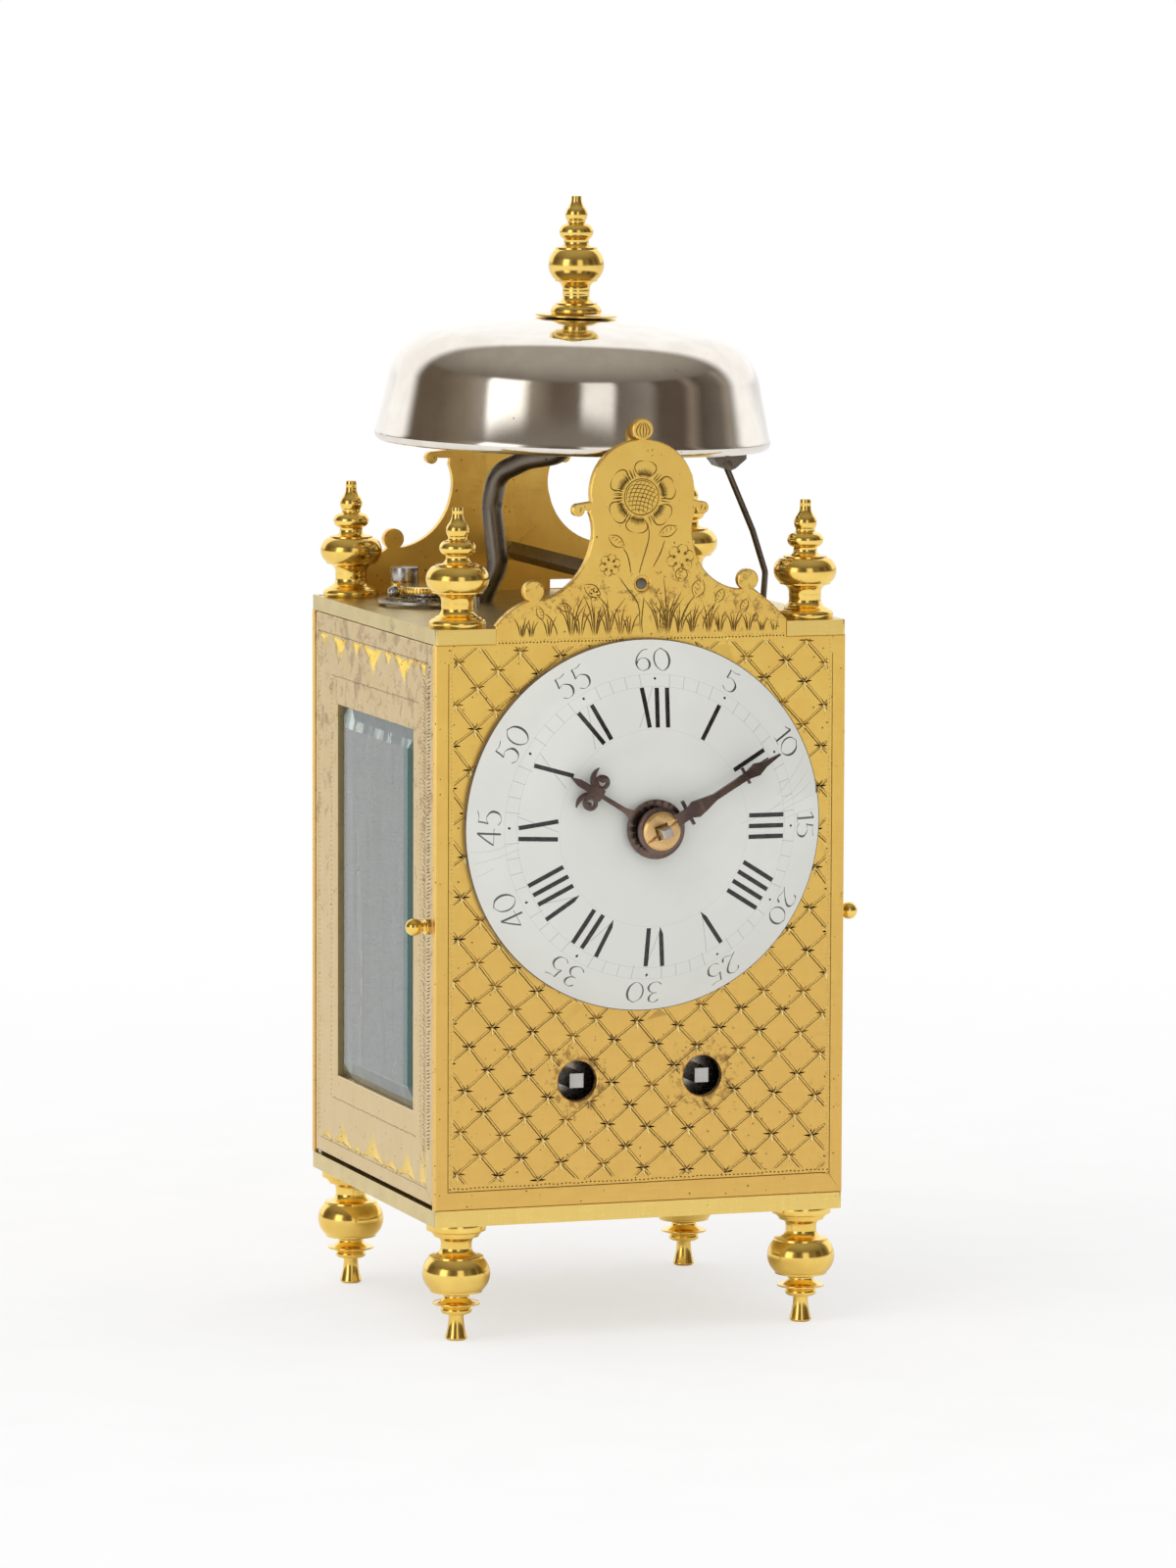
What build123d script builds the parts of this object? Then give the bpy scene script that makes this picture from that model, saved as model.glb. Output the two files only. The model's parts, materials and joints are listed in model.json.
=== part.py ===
"""A small brass lantern clock with a domed enamel dial, built as its separate pieces.

Everything is in millimetres with +Z up. X runs to the right and Y to the back as someone
faces the dial. The origin is under the middle of the clock, on the surface it stands on.
"""

from build123d import *
import os
from math import atan2, cos, degrees, hypot, pi, radians, sin, sqrt

# ---- Driving sizes ----------------------------------------------------------------------

# the case
case_width = 60.0
case_depth = 58.6
case_height = 83.1
foot_height = 16.5
base_thickness = 2.3
top_thickness = 2.1
face_thickness = 1.2
post_inset_side = 4.5
post_inset_depth = 4.3
post_radius = 1.9
stud_radius = 1.0
stud_depth = 4.0

# the crests that rise through the top plate
crest_half_width = 21.3
back_crest_rise = 2.6
back_crest_offset = -2.0
slot_width = 6.4
slot_height = 1.3
slot_from_middle = 5.6

# the side doors
door_thickness = 1.6
door_gap_below = 0.6
door_gap_above = 0.15
door_gap = 0.1
glass_front = -19.0
glass_back = 17.1
glass_low = 15.0
glass_below_roof = 14.7
glass_thickness = 1.0
glass_bevel = 3.0
glass_rebate = 1.2
bevel_depth = 0.8
hinge_pin_radius = 0.5
hinge_pin_length = 2.6
knob_height = 41.7
knob_ball = 1.22
knob_back = 2.1

# the dial and its hands
dial_radius = 25.95
dial_below_roof = 27.8
dial_rim = 0.8
dial_dome = 4.2
dial_wall = 1.1
hour_hand_length = 14.7
minute_hand_length = 20.7
hour_boss_radius = 4.15
minute_boss_radius = 3.25
hand_reach = 11.4
hour_hand_turn = 301.5
minute_hand_turn = 61.5
hour_hand_thickness = 0.55
minute_hand_thickness = 0.65
minute_hand_bend = 2.0
nut_radius = 2.7
nut_square = 2.0
arbor_square = 1.5
square_turn = 20.0

# the winding holes
winding_spread = 9.2
winding_drop = 35.6
winding_hole_radius = 2.85
winding_square = 2.0

# the bell, its stand and the hammer
bell_radius = 27.9
bell_rim_height = 23.0
bell_depth = 18.1
bell_wall = 1.25
bell_tilt = 1.6
bell_hole_radius = 1.35
stand_radius = 1.5
stand_foot = (-10.3, 11.0)
hammer_depth = -4.0
shank_radius = 0.44

# the balance on the top plate
balance_x = -19.0
balance_y = 9.0
balance_radius = 7.2
balance_thickness = 0.4
balance_lift = 0.45
cock_radius = 4.0
cock_low = 1.8
cock_high = 2.6
cock_screw_radius = 2.0

# the movement
movement_gap = 6.0
movement_plate = 1.4
movement_margin = 3.0
movement_back_gap = 7.3
pillar_radius = 1.8
pillar_low_spread = 21.3
pillar_high_left = -10.5
pillar_high_right = 19.5
running_clearance = 0.05
barrel_radius = 8.9
barrel_wall = 0.8
arbor_radius = 1.5
pivot_radius = 0.5

# tooth counts of the going train, the motion work and the strike train
great_teeth, intermediate_pinion = 80, 12
intermediate_teeth, centre_pinion = 76, 18
centre_teeth, third_pinion = 80, 10
third_teeth, crown_pinion = 75, 10
crown_teeth = 25
cannon_teeth, minute_teeth = 12, 36
minute_pinion, hour_teeth = 10, 40
pin_pinion, pin_teeth = 12, 70
locking_pinion, locking_teeth = 10, 60
fly_pinion = 10
ratchet_teeth = 20

# ---- Levels and places that follow from them ---------------------------------------------

base_low = foot_height
base_top = base_low + base_thickness
roof = base_low + case_height
roof_low = roof - top_thickness
side = case_width / 2
front = -case_depth / 2
back = case_depth / 2
dial_z = roof - dial_below_roof
glass_high = case_height - glass_below_roof
winding_z = dial_z - winding_drop

face_back = front + face_thickness
back_inner = back - face_thickness
plate_front = face_back + movement_gap
plate_inner = plate_front + movement_plate
rear_inner = back - movement_plate - movement_back_gap
rear_outer = rear_inner + movement_plate

# where each arbor stands, as x and z
going_barrel_at = (-winding_spread, winding_z)
strike_barrel_at = (winding_spread, winding_z)
centre_at = (0.0, dial_z)
intermediate_at = (1.8 - winding_spread, dial_z - 17.3)
third_at = (-13.8, dial_z + 7.6)
crown_at = (balance_x, dial_z + 18.3)
minute_at = (8.64, dial_z)
pin_wheel_at = (15.5, dial_z - 18.3)
locking_at = (14.0, dial_z - 6.4)
fly_at = (17.5, dial_z + 3.5)
hammer_at = (24.8, dial_z - 10.7)
letoff_at = (0.0, roof + 5.7)

# how far the model is moved so that its origin lies under the middle of its whole box
middle_shift = -(front - hand_reach + back) / 2


# ---- Shapes used again and again ----------------------------------------------------------


def slab(outline, near, far):
    """An outline drawn in x and z, as thick as the stretch of y from near to far."""
    return Pos(0, far, 0) * extrude(Plane.XZ * outline, far - near)


def rod(at, radius, near, far):
    """A round rod along y, about the point at, given as x and z."""
    return slab(Pos(at[0], at[1]) * Circle(radius), near, far)


def upright(x, y, radius, low, high):
    """A round rod along z."""
    return Pos(x, y, low) * Cylinder(radius, high - low, align=(Align.CENTER, Align.CENTER, Align.MIN))


def block(x0, x1, y0, y1, z0, z1):
    """A box between two values on each axis."""
    lowest = (Align.MIN, Align.MIN, Align.MIN)
    return Pos(x0, y0, z0) * Box(x1 - x0, y1 - y0, z1 - z0, align=lowest)


def turned(start, *steps):
    """A solid turned about the z axis. The profile starts at a radius and height, and each
    step is a line to (radius, height), or an arc through one such point to another."""
    edges = [Line((0, start[1]), start)]
    here = start
    for step in steps:
        if len(step) == 2:
            edges.append(Line(here, step))
        else:
            edges.append(ThreePointArc(here, step[:2], step[2:]))
        here = step[-2:]
    edges.append(Line(here, (0, here[1])))
    edges.append(Line((0, here[1]), (0, start[1])))
    return revolve(Plane.XZ * make_face(edges), Axis.Z)


def gear_outline(teeth, module, turn, width_share):
    """A gear's outline: straight-sided teeth, the first at the angle turn in radians.
    width_share is the share of the pitch that a tooth fills at the pitch circle."""
    pitch_radius = teeth * module / 2
    tip = pitch_radius + 0.62 * module
    root = pitch_radius - 0.95 * module
    pitch = 2 * pi / teeth
    points = []
    for tooth in range(teeth):
        centre = turn + tooth * pitch
        for radius, share in ((root, -0.85), (tip, -0.38), (tip, 0.38), (root, 0.85)):
            angle = centre + share * width_share * pitch
            points.append((radius * cos(angle), radius * sin(angle)))
    return make_face(Polyline(*points, close=True))


def gear(at, teeth, module, turn, near, far, share=0.42):
    """A gear about the point at, between two depths."""
    outline = Pos(*at) * gear_outline(teeth, module, turn, share)
    return slab(outline, near, far)


def module_between(a, b, teeth_a, teeth_b):
    """The module with which two gears just reach each other."""
    return 2 * hypot(a[0] - b[0], a[1] - b[1]) / (teeth_a + teeth_b)


def meshed_turn(a, b, teeth_a, teeth_b, turn_a):
    """The turn of gear b that puts its teeth in the gaps of gear a, along the line between."""
    line = atan2(b[1] - a[1], b[0] - a[0])
    pitch_a = 2 * pi / teeth_a
    to_tooth = (turn_a - line) % pitch_a
    half_more = (to_tooth + pitch_a / 2) * teeth_a / teeth_b
    return line + pi - half_more


def spokes(at, inner, outer, count, turn, width):
    """The windows between the crossings of a wheel, as an outline to cut away."""
    ring = Circle(outer) - Circle(inner)
    for arm in range(count):
        angle = turn + arm * 360 / count
        ring -= Rot(0, 0, angle) * Rectangle(2 * outer, width, align=(Align.MIN, Align.CENTER))
    return Pos(*at) * ring


def crossed_wheel(at, teeth, module, turn, near, far, hub):
    """A toothed wheel with a rim, four arms and a round middle."""
    rim = teeth * module / 2 - 2.2
    wheel = gear(at, teeth, module, turn, near, far)
    return wheel - slab(spokes(at, hub, rim, 4, 45, 1.3), near - 1, far + 1)


def arbor(at, radius, near, far):
    """An arbor with thinner pivots that run in the movement's two plates."""
    body = rod(at, radius, near, far)
    pivots = rod(at, pivot_radius, plate_front, rear_outer)
    return body + pivots


def on_circle(middle, radius, turn):
    """The point at a turn in degrees on a circle, in x and z."""
    return (middle[0] + radius * cos(radians(turn)), middle[1] + radius * sin(radians(turn)))


def both_sides(shape):
    """A shape and its mirror image on the other side of the case."""
    return [shape, mirror(shape, Plane.YZ)]


def corners():
    """The four corners of the case where the posts stand."""
    x = side - post_inset_side
    y = case_depth / 2 - post_inset_depth
    return [(-x, -y), (x, -y), (-x, y), (x, y)]


# ---- The case ------------------------------------------------------------------------------


def make_base_plate():
    plate = fillet(block(-side, side, front, back, base_low, base_top).edges().filter_by(Axis.Z), 0.4)
    for x, y in corners():
        plate -= upright(x, y, stud_radius + running_clearance, base_low - 1, base_top + 1)
    for x in (-hinge_x, hinge_x):
        plate -= upright(x, hinge_y, hinge_pin_radius, base_low - 1, base_top + 1)
    return plate


def make_top_plate():
    plate = fillet(block(-side, side, front, back, roof_low, roof).edges().filter_by(Axis.Z), 0.4)
    for x, y in corners():
        plate -= upright(x, y, stud_radius + running_clearance, roof_low - 1, roof + 1)
    for x in (-hinge_x, hinge_x):
        plate -= upright(x, hinge_y, hinge_pin_radius, roof_low - 1, roof + 1)
    notch = crest_half_width
    plate -= block(-notch, notch, front - 1, face_back, roof_low - 1, roof + 1)
    shifted = back_crest_offset
    plate -= block(shifted - notch, shifted + notch, back_inner, back + 1, roof_low - 1, roof + 1)
    plate -= upright(*stand_foot, stand_radius, roof_low - 1, roof + 1)
    plate -= upright(balance_x, balance_y, 1.3, roof_low - 1, roof + 1)
    plate -= upright(cock_screw_x, cock_screw_y, 0.9, roof_low - 1, roof + 1)
    plate -= upright(*spring_stud, 0.4, roof_low - 1, roof + 1)
    # the slots for the hammer's shank and the let-off finger
    plate -= block(21.2, 28.3, hammer_depth - 0.9, hammer_depth + 0.9, roof_low - 1, roof + 1)
    reach = letoff_slot
    plate -= block(-reach, reach, letoff_depth - 1.0, letoff_depth + 1.0, roof_low - 1, roof + 1)
    return plate


def crest_half(rise, hook, ball):
    """The right half of a crest, from the middle of its top down to the case: a head that
    comes to a slight point, a hook over a round bay, a hollow neck, and a ball on a sloping
    shoulder. The hook's and the ball's middles are given as x and height above the rise."""
    low = roof_low - roof
    hook_x, hook_z = hook[0], rise + hook[1]
    ball_x, ball_z = ball[0], rise + ball[1]
    head_top, head_side = (0, rise + 25.7), (7.5, rise + 17.3)
    bay_top, waist = (7.75, rise + 15.75), (7.5, rise + 11.0)
    inner_notch, outer_notch = (ball_x - 1.45, ball_z - 1.2), (ball_x + 0.9, ball_z - 1.3)
    shoulder_end = (crest_half_width, rise + 0.3)
    edges = [
        Line((0, low), (crest_half_width, low)),
        Line((crest_half_width, low), shoulder_end),
        ThreePointArc(shoulder_end, (19.3, rise + 2.3), outer_notch),
        Line(outer_notch, inner_notch),
        ThreePointArc(inner_notch, (9.5, rise + 7.0), waist),
        ThreePointArc(waist, (7.2, rise + 13.4), bay_top),
        Line(bay_top, head_side),
        ThreePointArc(head_side, (5.5, rise + 23.5), head_top),
        Line(head_top, (0, low)),
    ]
    half = make_face(edges)
    half += Pos(ball_x, ball_z) * Circle(1.5)
    half += Pos(hook_x, hook_z) * Circle(0.88)
    bridge = ((7.0, hook_z + 1.2), (7.0, hook_z - 0.1), (hook_x, hook_z), (hook_x, hook_z + 0.87))
    return half + make_face(Polyline(*bridge, close=True))


def crest_outline(middle, rise, left_hook, right_hook, left_ball, right_ball):
    """A whole crest, with a ball on top. The two sides were sawn by hand and differ a little."""
    whole = crest_half(rise, right_hook, right_ball)
    whole += mirror(crest_half(rise, left_hook, left_ball), Plane.YZ)
    whole += Pos(0, rise + 27.1) * Circle(1.5)
    return Pos(middle, roof) * whole


def make_front_plate():
    face = Pos(0, (base_top + roof_low) / 2) * Rectangle(case_width, roof_low - base_top)
    face += crest_outline(0, 0, (9.3, 16.1), (8.8, 16.1), (15.75, 5.0), (15.55, 5.9))
    plate = slab(face, front, face_back)
    plate -= rod(centre_at, pipe_radius + 0.45, front - 1, face_back + 1)
    for at in (going_barrel_at, strike_barrel_at):
        plate -= rod(at, winding_hole_radius, front - 1, face_back + 1)
    for at in dial_feet_at():
        plate -= rod(at, dial_foot_radius, front - 1, face_back + 1)
    # an oil sink in front, and the bearing of the let-off arbor behind it
    plate -= rod(letoff_at, letoff_pivot + running_clearance, front - 1, face_back + 1)
    plate -= rod(letoff_at, 1.1, front - 1, front + 0.5)
    return plate


def make_back_plate():
    face = Pos(0, (base_top + roof_low) / 2) * Rectangle(case_width, roof_low - base_top)
    hooks, balls = ((10.4, 16.8), (9.8, 16.6)), ((16.1, 5.2), (15.9, 5.4))
    face += crest_outline(back_crest_offset, back_crest_rise, *hooks, *balls)
    window = Pos(slot_from_middle + slot_width / 2, roof + slot_height / 2 + 0.1)
    face -= window * Rectangle(slot_width, slot_height)
    plate = slab(face, back_inner, back)
    return plate - rod(letoff_at, letoff_pivot + running_clearance, back_inner - 1, back + 1)


def make_corner_posts():
    posts = []
    for x, y in corners():
        post = upright(x, y, post_radius, base_top, roof_low)
        drilled = stud_radius + running_clearance
        post -= upright(x, y, drilled, base_top - 1, base_top + stud_depth)
        post -= upright(x, y, drilled, roof_low - stud_depth, roof_low + 1)
        posts.append(post)
    return posts


def make_foot():
    """A turned foot: a trumpet tip, a sharp flange, a ball between two necks and a top flange.
    The heights below the ball are fixed; the neck above it takes up any change of height."""
    neck_top = foot_height - 1.9
    foot = turned(
        (1.25, 0),
        (1.56, 0.3),
        (1.12, 2.2, 1.04, 3.8),
        (1.3, 3.85),
        (2.17, 4.25, 1.9, 4.65),
        (3.3, 5.05),
        (3.3, 5.3),
        (2.1, 5.6, 1.78, 6.2),
        (1.78, 6.4),
        (2.5, 6.65, 3.64, 6.8),
        (3.64, 7.05),
        (4.74, 9.3, 3.8, 11.6),
        (3.8, 11.9),
        (3.3, 12.0),
        (2.35, 12.5, 2.18, 13.2),
        (2.18, neck_top - 0.9),
        (2.5, neck_top - 0.2, 3.16, neck_top),
        (3.16, neck_top + 0.35),
        (3.44, neck_top + 0.4),
        (3.44, neck_top + 0.65),
        (4.16, neck_top + 0.9),
        (4.16, foot_height),
    )
    return foot + upright(0, 0, stud_radius, foot_height - 1, base_top + stud_depth - 0.3)


def make_finial():
    """A turned finial, from its spreading foot to its slim tip, with a stud below it."""
    finial = turned(
        (3.9, 0),
        (3.95, 0.35),
        (3.85, 0.95, 3.4, 1.2),
        (3.12, 1.45),
        (2.4, 2.0, 2.26, 2.9),
        (2.26, 3.4),
        (2.6, 4.35, 3.57, 4.75),
        (3.57, 4.95),
        (4.4, 6.67, 3.5, 8.35),
        (3.04, 8.45),
        (3.04, 8.7),
        (1.9, 8.95, 1.64, 9.5),
        (1.64, 9.9),
        (2.53, 10.95, 1.5, 11.95),
        (1.34, 12.1),
        (1.34, 12.5),
        (1.6, 13.3, 1.25, 14.3),
        (0.88, 15.0, 0.78, 16.0),
        (0.74, 16.57),
    )
    stud = upright(0, 0, stud_radius, -top_thickness - stud_depth + 0.3, 0.5)
    slot = block(-1, 1, -0.12, 0.12, 16.1, 17)
    return finial + stud - slot


def make_hinge_pins():
    pins = []
    for x in (-hinge_x, hinge_x):
        pins.append(upright(x, hinge_y, hinge_pin_radius, base_low + 0.2, base_top + hinge_pin_length))
        pins.append(upright(x, hinge_y, hinge_pin_radius, roof_low - hinge_pin_length, roof - 0.2))
    return pins


# ---- The side doors ------------------------------------------------------------------------

hinge_x = side - door_thickness / 2
hinge_y = back_inner - door_thickness / 2 - door_gap
door_low = base_top + door_gap_below
door_high = roof_low - door_gap_above
door_front = face_back + door_gap
door_inner = side - door_thickness
knob_y = door_front + knob_back
knob_z = base_low + knob_height
knob_hole = 0.5


def glass_opening(margin, depth_low, depth_high):
    """The glazed opening's box on the left, grown by a margin all round."""
    low, high = base_low + glass_low, base_low + glass_high
    return block(
        depth_low, depth_high, glass_front - margin, glass_back + margin, low - margin, high + margin
    )


def make_left_door():
    """The door's frame, with a round rear edge about its hinge pins."""
    frame = block(-side, -door_inner, door_front, hinge_y, door_low, door_high)
    frame += upright(-hinge_x, hinge_y, door_thickness / 2, door_low, door_high)
    frame -= glass_opening(0, -side - 1, -door_inner + 1)
    bore = hinge_pin_radius + running_clearance
    deep = hinge_pin_length + 0.3
    frame -= upright(-hinge_x, hinge_y, bore, door_low - 1, door_low + deep)
    frame -= upright(-hinge_x, hinge_y, bore, door_high - deep, door_high + 1)
    drilled = Pos(-side, knob_y, knob_z) * Rot(0, 90, 0) * Cylinder(knob_hole, 6)
    return frame - drilled


def make_left_glass():
    """A thick bevelled pane: a rebated back that rests behind the frame, and a raised middle
    with a broad bevel that fills the opening."""
    back_part = glass_opening(glass_rebate, -door_inner, -door_inner + glass_thickness)
    raised = glass_opening(-0.02, -side + 0.15 + bevel_depth, -door_inner)
    middle_y, middle_z = (glass_front + glass_back) / 2, base_low + (glass_low + glass_high) / 2
    wide, tall = glass_back - glass_front - 0.04, glass_high - glass_low - 0.04
    foot = Plane(origin=(-side + 0.15 + bevel_depth, middle_y, middle_z), x_dir=(0, 1, 0), z_dir=(-1, 0, 0))
    bevel = loft(
        [
            foot * Rectangle(wide, tall),
            foot.offset(bevel_depth) * Rectangle(wide - 2 * glass_bevel, tall - 2 * glass_bevel),
        ]
    )
    return back_part + raised + bevel


def make_left_knob():
    """A ball knob on a collar, with a screwed shank through the door."""
    neck = 0.62
    middle = 0.95 + sqrt(knob_ball**2 - neck**2)
    knob = turned(
        (knob_hole - 0.02, -door_thickness - 0.5),
        (knob_hole - 0.02, 0),
        (1.1, 0),
        (1.1, 0.45),
        (0.7, 0.6, neck, 0.95),
        (knob_ball, middle, 0.2, middle + sqrt(knob_ball**2 - 0.2**2)),
    )
    return Pos(-side, knob_y, knob_z) * Rot(0, -90, 0) * knob


# ---- The dial and hands --------------------------------------------------------------------

pipe_radius = 1.75
dial_foot_radius = 0.5
dial_foot_inset = 5.5
dial_hole_radius = pipe_radius + 0.5


def dial_rise(radius):
    """How far the enamel stands out: nearly flat in the middle, rolling down at the rim."""
    return dial_rim + dial_dome * (1 - (radius / dial_radius) ** 4)


def dial_feet_at():
    """The dial's three copper feet, on a circle inside its rim."""
    return [on_circle(centre_at, dial_radius - dial_foot_inset, turn) for turn in (90, 210, 330)]


def make_dial():
    stations = [dial_hole_radius, 8.0, 14.0, 19.0, 22.5, 24.6]
    outer = [(r, dial_rise(r)) for r in stations] + [(dial_radius, dial_rim)]
    inner_stations = [dial_hole_radius, 8.0, 14.0, 18.5, 21.5, 23.6]
    inner = [(r, dial_rise(r) - dial_wall) for r in inner_stations]
    inner.append((dial_radius - 1.2, 0.35))
    edges = [
        Spline(*outer),
        Line(outer[-1], (dial_radius, 0)),
        Line((dial_radius, 0), (dial_radius - 1.2, 0)),
        Line((dial_radius - 1.2, 0), inner[-1]),
        Spline(*reversed(inner)),
        Line(inner[0], outer[0]),
    ]
    shell = revolve(Plane.XZ * make_face(edges), Axis.Z)
    dial = Pos(centre_at[0], front, centre_at[1]) * Rot(90, 0, 0) * shell
    start = front - dial_rise(dial_radius - dial_foot_inset) + dial_wall / 2
    for at in dial_feet_at():
        dial += rod(at, dial_foot_radius, start, face_back + 1.6)
        dial -= Pos(at[0], face_back + 0.8, at[1]) * Rot(0, 90, 0) * Cylinder(0.25, 4)
    return dial


def make_taper_pins():
    """The pins behind the dial's feet and behind the movement's pillars."""
    pins = []
    for x, z in dial_feet_at():
        pins.append(Pos(x, face_back + 0.8, z) * Rot(0, 90, 0) * Cylinder(0.25, 3.2))
    for x, z in pillars_at():
        for y in (plate_front - 0.7, rear_outer + 0.7):
            pins.append(Pos(x, y, z) * Rot(0, 90, 0) * Cylinder(0.35, 4.0))
    return pins


def place_hand(outline, turn, near, far):
    """Turns a hand drawn pointing up by a number of degrees clockwise, seen from the front."""
    return slab(Pos(*centre_at) * Rot(0, 0, -turn) * outline, near, far)


def make_hour_hand():
    """A ring boss, a slim stem, and a lily tip: a long blade between two scrolls, each with
    a horn that sweeps outwards over it."""
    length = hour_hand_length
    root = 0.62 * length
    stem = Polyline(
        (-0.8, 3.6), (-0.36, 5.4), (-0.3, root), (-0.52, root + 0.6), (-0.5, length - 1.6),
        (0, length),
        (0.5, length - 1.6), (0.52, root + 0.6), (0.3, root), (0.36, 5.4), (0.8, 3.6), close=True,
    )
    outline = Circle(hour_boss_radius) + make_face(stem)
    scroll_x, scroll_y = 1.68, root + 1.1
    for way in (-1, 1):
        outline += Pos(way * scroll_x, scroll_y) * (Circle(1.05) - Circle(0.55))
        outline += Pos(way * (scroll_x + 0.3), scroll_y + 0.1) * Circle(0.4)
        leaf = Polyline(
            (way * 0.25, root), (way * 0.9, root + 0.15), (way * 1.0, root + 1.2), (way * 0.25, root + 1.7),
            close=True,
        )
        outline += make_face(leaf)
        tip = (way * 3.2, length - 3.05)
        horn = [
            ThreePointArc((way * 0.3, root + 1.5), (way * 1.7, length - 2.6), tip),
            ThreePointArc(tip, (way * 1.6, length - 3.35), (way * 0.3, root + 0.9)),
            Line((way * 0.3, root + 0.9), (way * 0.3, root + 1.5)),
        ]
        outline += make_face(horn)
    outline -= Circle(pipe_radius + 0.02)
    return place_hand(outline, hour_hand_turn, hour_hand_near, hour_hand_near + hour_hand_thickness)


def make_minute_hand():
    """A ring boss, a thin cross collar, a long baluster, a second collar, a bulb and a thin
    tip. The outer half is bent back towards the dial."""
    length = minute_hand_length
    widths = (
        (2.9, 0.85), (4.9, 0.75), (5.9, 1.2), (6.9, 1.0), (9.2, 0.48), (0.7 * length, 0.5),
        (0.74 * length, 0.6), (0.8 * length, 0.9), (0.87 * length, 0.42), (length, 0.1),
    )
    left = [(-w, y) for y, w in widths]
    right = [(w, y) for y, w in reversed(widths)]
    outline = Circle(minute_boss_radius) + make_face(Polyline(*left, *right, close=True))
    outline += Pos(-0.15, 4.7) * Rectangle(3.7, 0.4)
    outline += Pos(-0.15, 0.71 * length) * Rectangle(2.5, 0.36)
    outline -= Circle(cannon_outer + 0.02)
    near, far = minute_hand_near, minute_hand_near + minute_hand_thickness
    hand = slab(outline, near, far + minute_hand_bend)
    # the strip of metal, seen from the side, that the hand is cut from
    start, end = 0.35 * length, length + 1.0
    side_view = Polyline(
        (near, -minute_boss_radius - 1), (near, start), (near + minute_hand_bend, end),
        (far + minute_hand_bend, end), (far, start), (far, -minute_boss_radius - 1), close=True,
    )
    strip = extrude(Plane.YZ * make_face(side_view), 2 * minute_boss_radius, both=True)
    turn = Pos(0, 0, dial_z) * Rot(0, minute_hand_turn, 0)
    return turn * (hand & strip)


def make_hand_nut():
    """A round slotted nut with a rounded rim, on the squared end of the centre arbor."""
    nut = rod(centre_at, nut_radius, nut_near, minute_hand_near)
    nut = chamfer(nut.faces().sort_by(Axis.Y)[0].edges(), 0.35)
    square = Pos(*centre_at) * Rot(0, 0, square_turn) * Rectangle(nut_square, nut_square)
    nut -= slab(square, nut_near - 1, minute_hand_near + 1)
    slot = Pos(*centre_at) * Rot(0, 0, 35) * Rectangle(2 * nut_radius + 1, 0.35)
    return nut - slab(slot, nut_near - 1, nut_near + 0.45)


# the pipes and levels of the motion work between the case front and the movement
centre_front_radius = 0.75
cannon_outer = 1.2
hour_hand_near = front - dial_rim - dial_dome - 1.4
minute_hand_near = hour_hand_near - 1.9
nut_near = minute_hand_near - 0.8
hour_level = (face_back + 0.7, face_back + 1.5)
minute_level = (plate_front - 2.2, plate_front - 1.4)
letoff_pivot = 0.75
letoff_depth = -14.0
letoff_slot = 3.4

cannon_module = module_between(centre_at, minute_at, cannon_teeth, minute_teeth)
hour_module = module_between(centre_at, minute_at, hour_teeth, minute_pinion)
minute_turn = meshed_turn(centre_at, minute_at, cannon_teeth, minute_teeth, 0)
minute_pinion_turn = 0.2
hour_turn = meshed_turn(minute_at, centre_at, minute_pinion, hour_teeth, minute_pinion_turn)


def make_cannon_pinion():
    near, far = minute_level
    leaves = gear(centre_at, cannon_teeth, cannon_module, 0, near - 0.3, far + 0.3, 0.36)
    pipe = rod(centre_at, cannon_outer, minute_hand_near, far + 0.3)
    return leaves + pipe - rod(centre_at, centre_front_radius, minute_hand_near - 1, plate_front)


def make_hour_wheel():
    wheel = crossed_wheel(centre_at, hour_teeth, hour_module, hour_turn, *hour_level, 2.6)
    wheel += rod(centre_at, pipe_radius, hour_hand_near, hour_level[1])
    bore = cannon_outer + running_clearance
    return wheel - rod(centre_at, bore, hour_hand_near - 1, hour_level[1] + 1)


def make_minute_wheel():
    wheel = crossed_wheel(minute_at, minute_teeth, cannon_module, minute_turn, *minute_level, 2.4)
    near, far = hour_level
    leaves = gear(minute_at, minute_pinion, hour_module, minute_pinion_turn, near - 0.2, far + 0.3, 0.36)
    sleeve = rod(minute_at, 1.25, hour_level[1], minute_level[1])
    bore = rod(minute_at, minute_stud + running_clearance, face_back - 1, plate_front)
    return wheel + leaves + sleeve - bore


# ---- The movement's frame ------------------------------------------------------------------

minute_stud = 0.7
click_stud = 0.9
ratchet_near = plate_front - 1.5
ratchet_far = plate_front - 0.5
ratchet_radius = 4.9


def pillars_at():
    """The movement's four pillars, as x and z. The upper two leave room for the crown wheel
    and for the hammer's shank."""
    x = pillar_low_spread
    low, high = base_top + 3.2, roof_low - 3.4
    return [(-x, low), (x, low), (pillar_high_left, high), (pillar_high_right, high)]


def click_at(barrel):
    """A click's stud, above and outside its ratchet."""
    way = -1 if barrel[0] < 0 else 1
    return (barrel[0] + way * 5.2, barrel[1] + 6.4)


def movement_outline():
    width = case_width - 2 * movement_margin
    height = roof_low - base_top
    outline = Pos(0, (base_top + roof_low) / 2) * Rectangle(width, height)
    for at in pillars_at():
        outline -= Pos(*at) * Circle(1.12)
    return outline


def running_holes():
    """Holes in which the pivots run, the same in both plates."""
    holes = []
    for at in (intermediate_at, third_at, pin_wheel_at, locking_at, fly_at, hammer_at):
        holes.append(Pos(*at) * Circle(pivot_radius + running_clearance))
    for at in (going_barrel_at, strike_barrel_at):
        holes.append(Pos(*at) * Circle(arbor_radius + running_clearance))
    return holes


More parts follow.
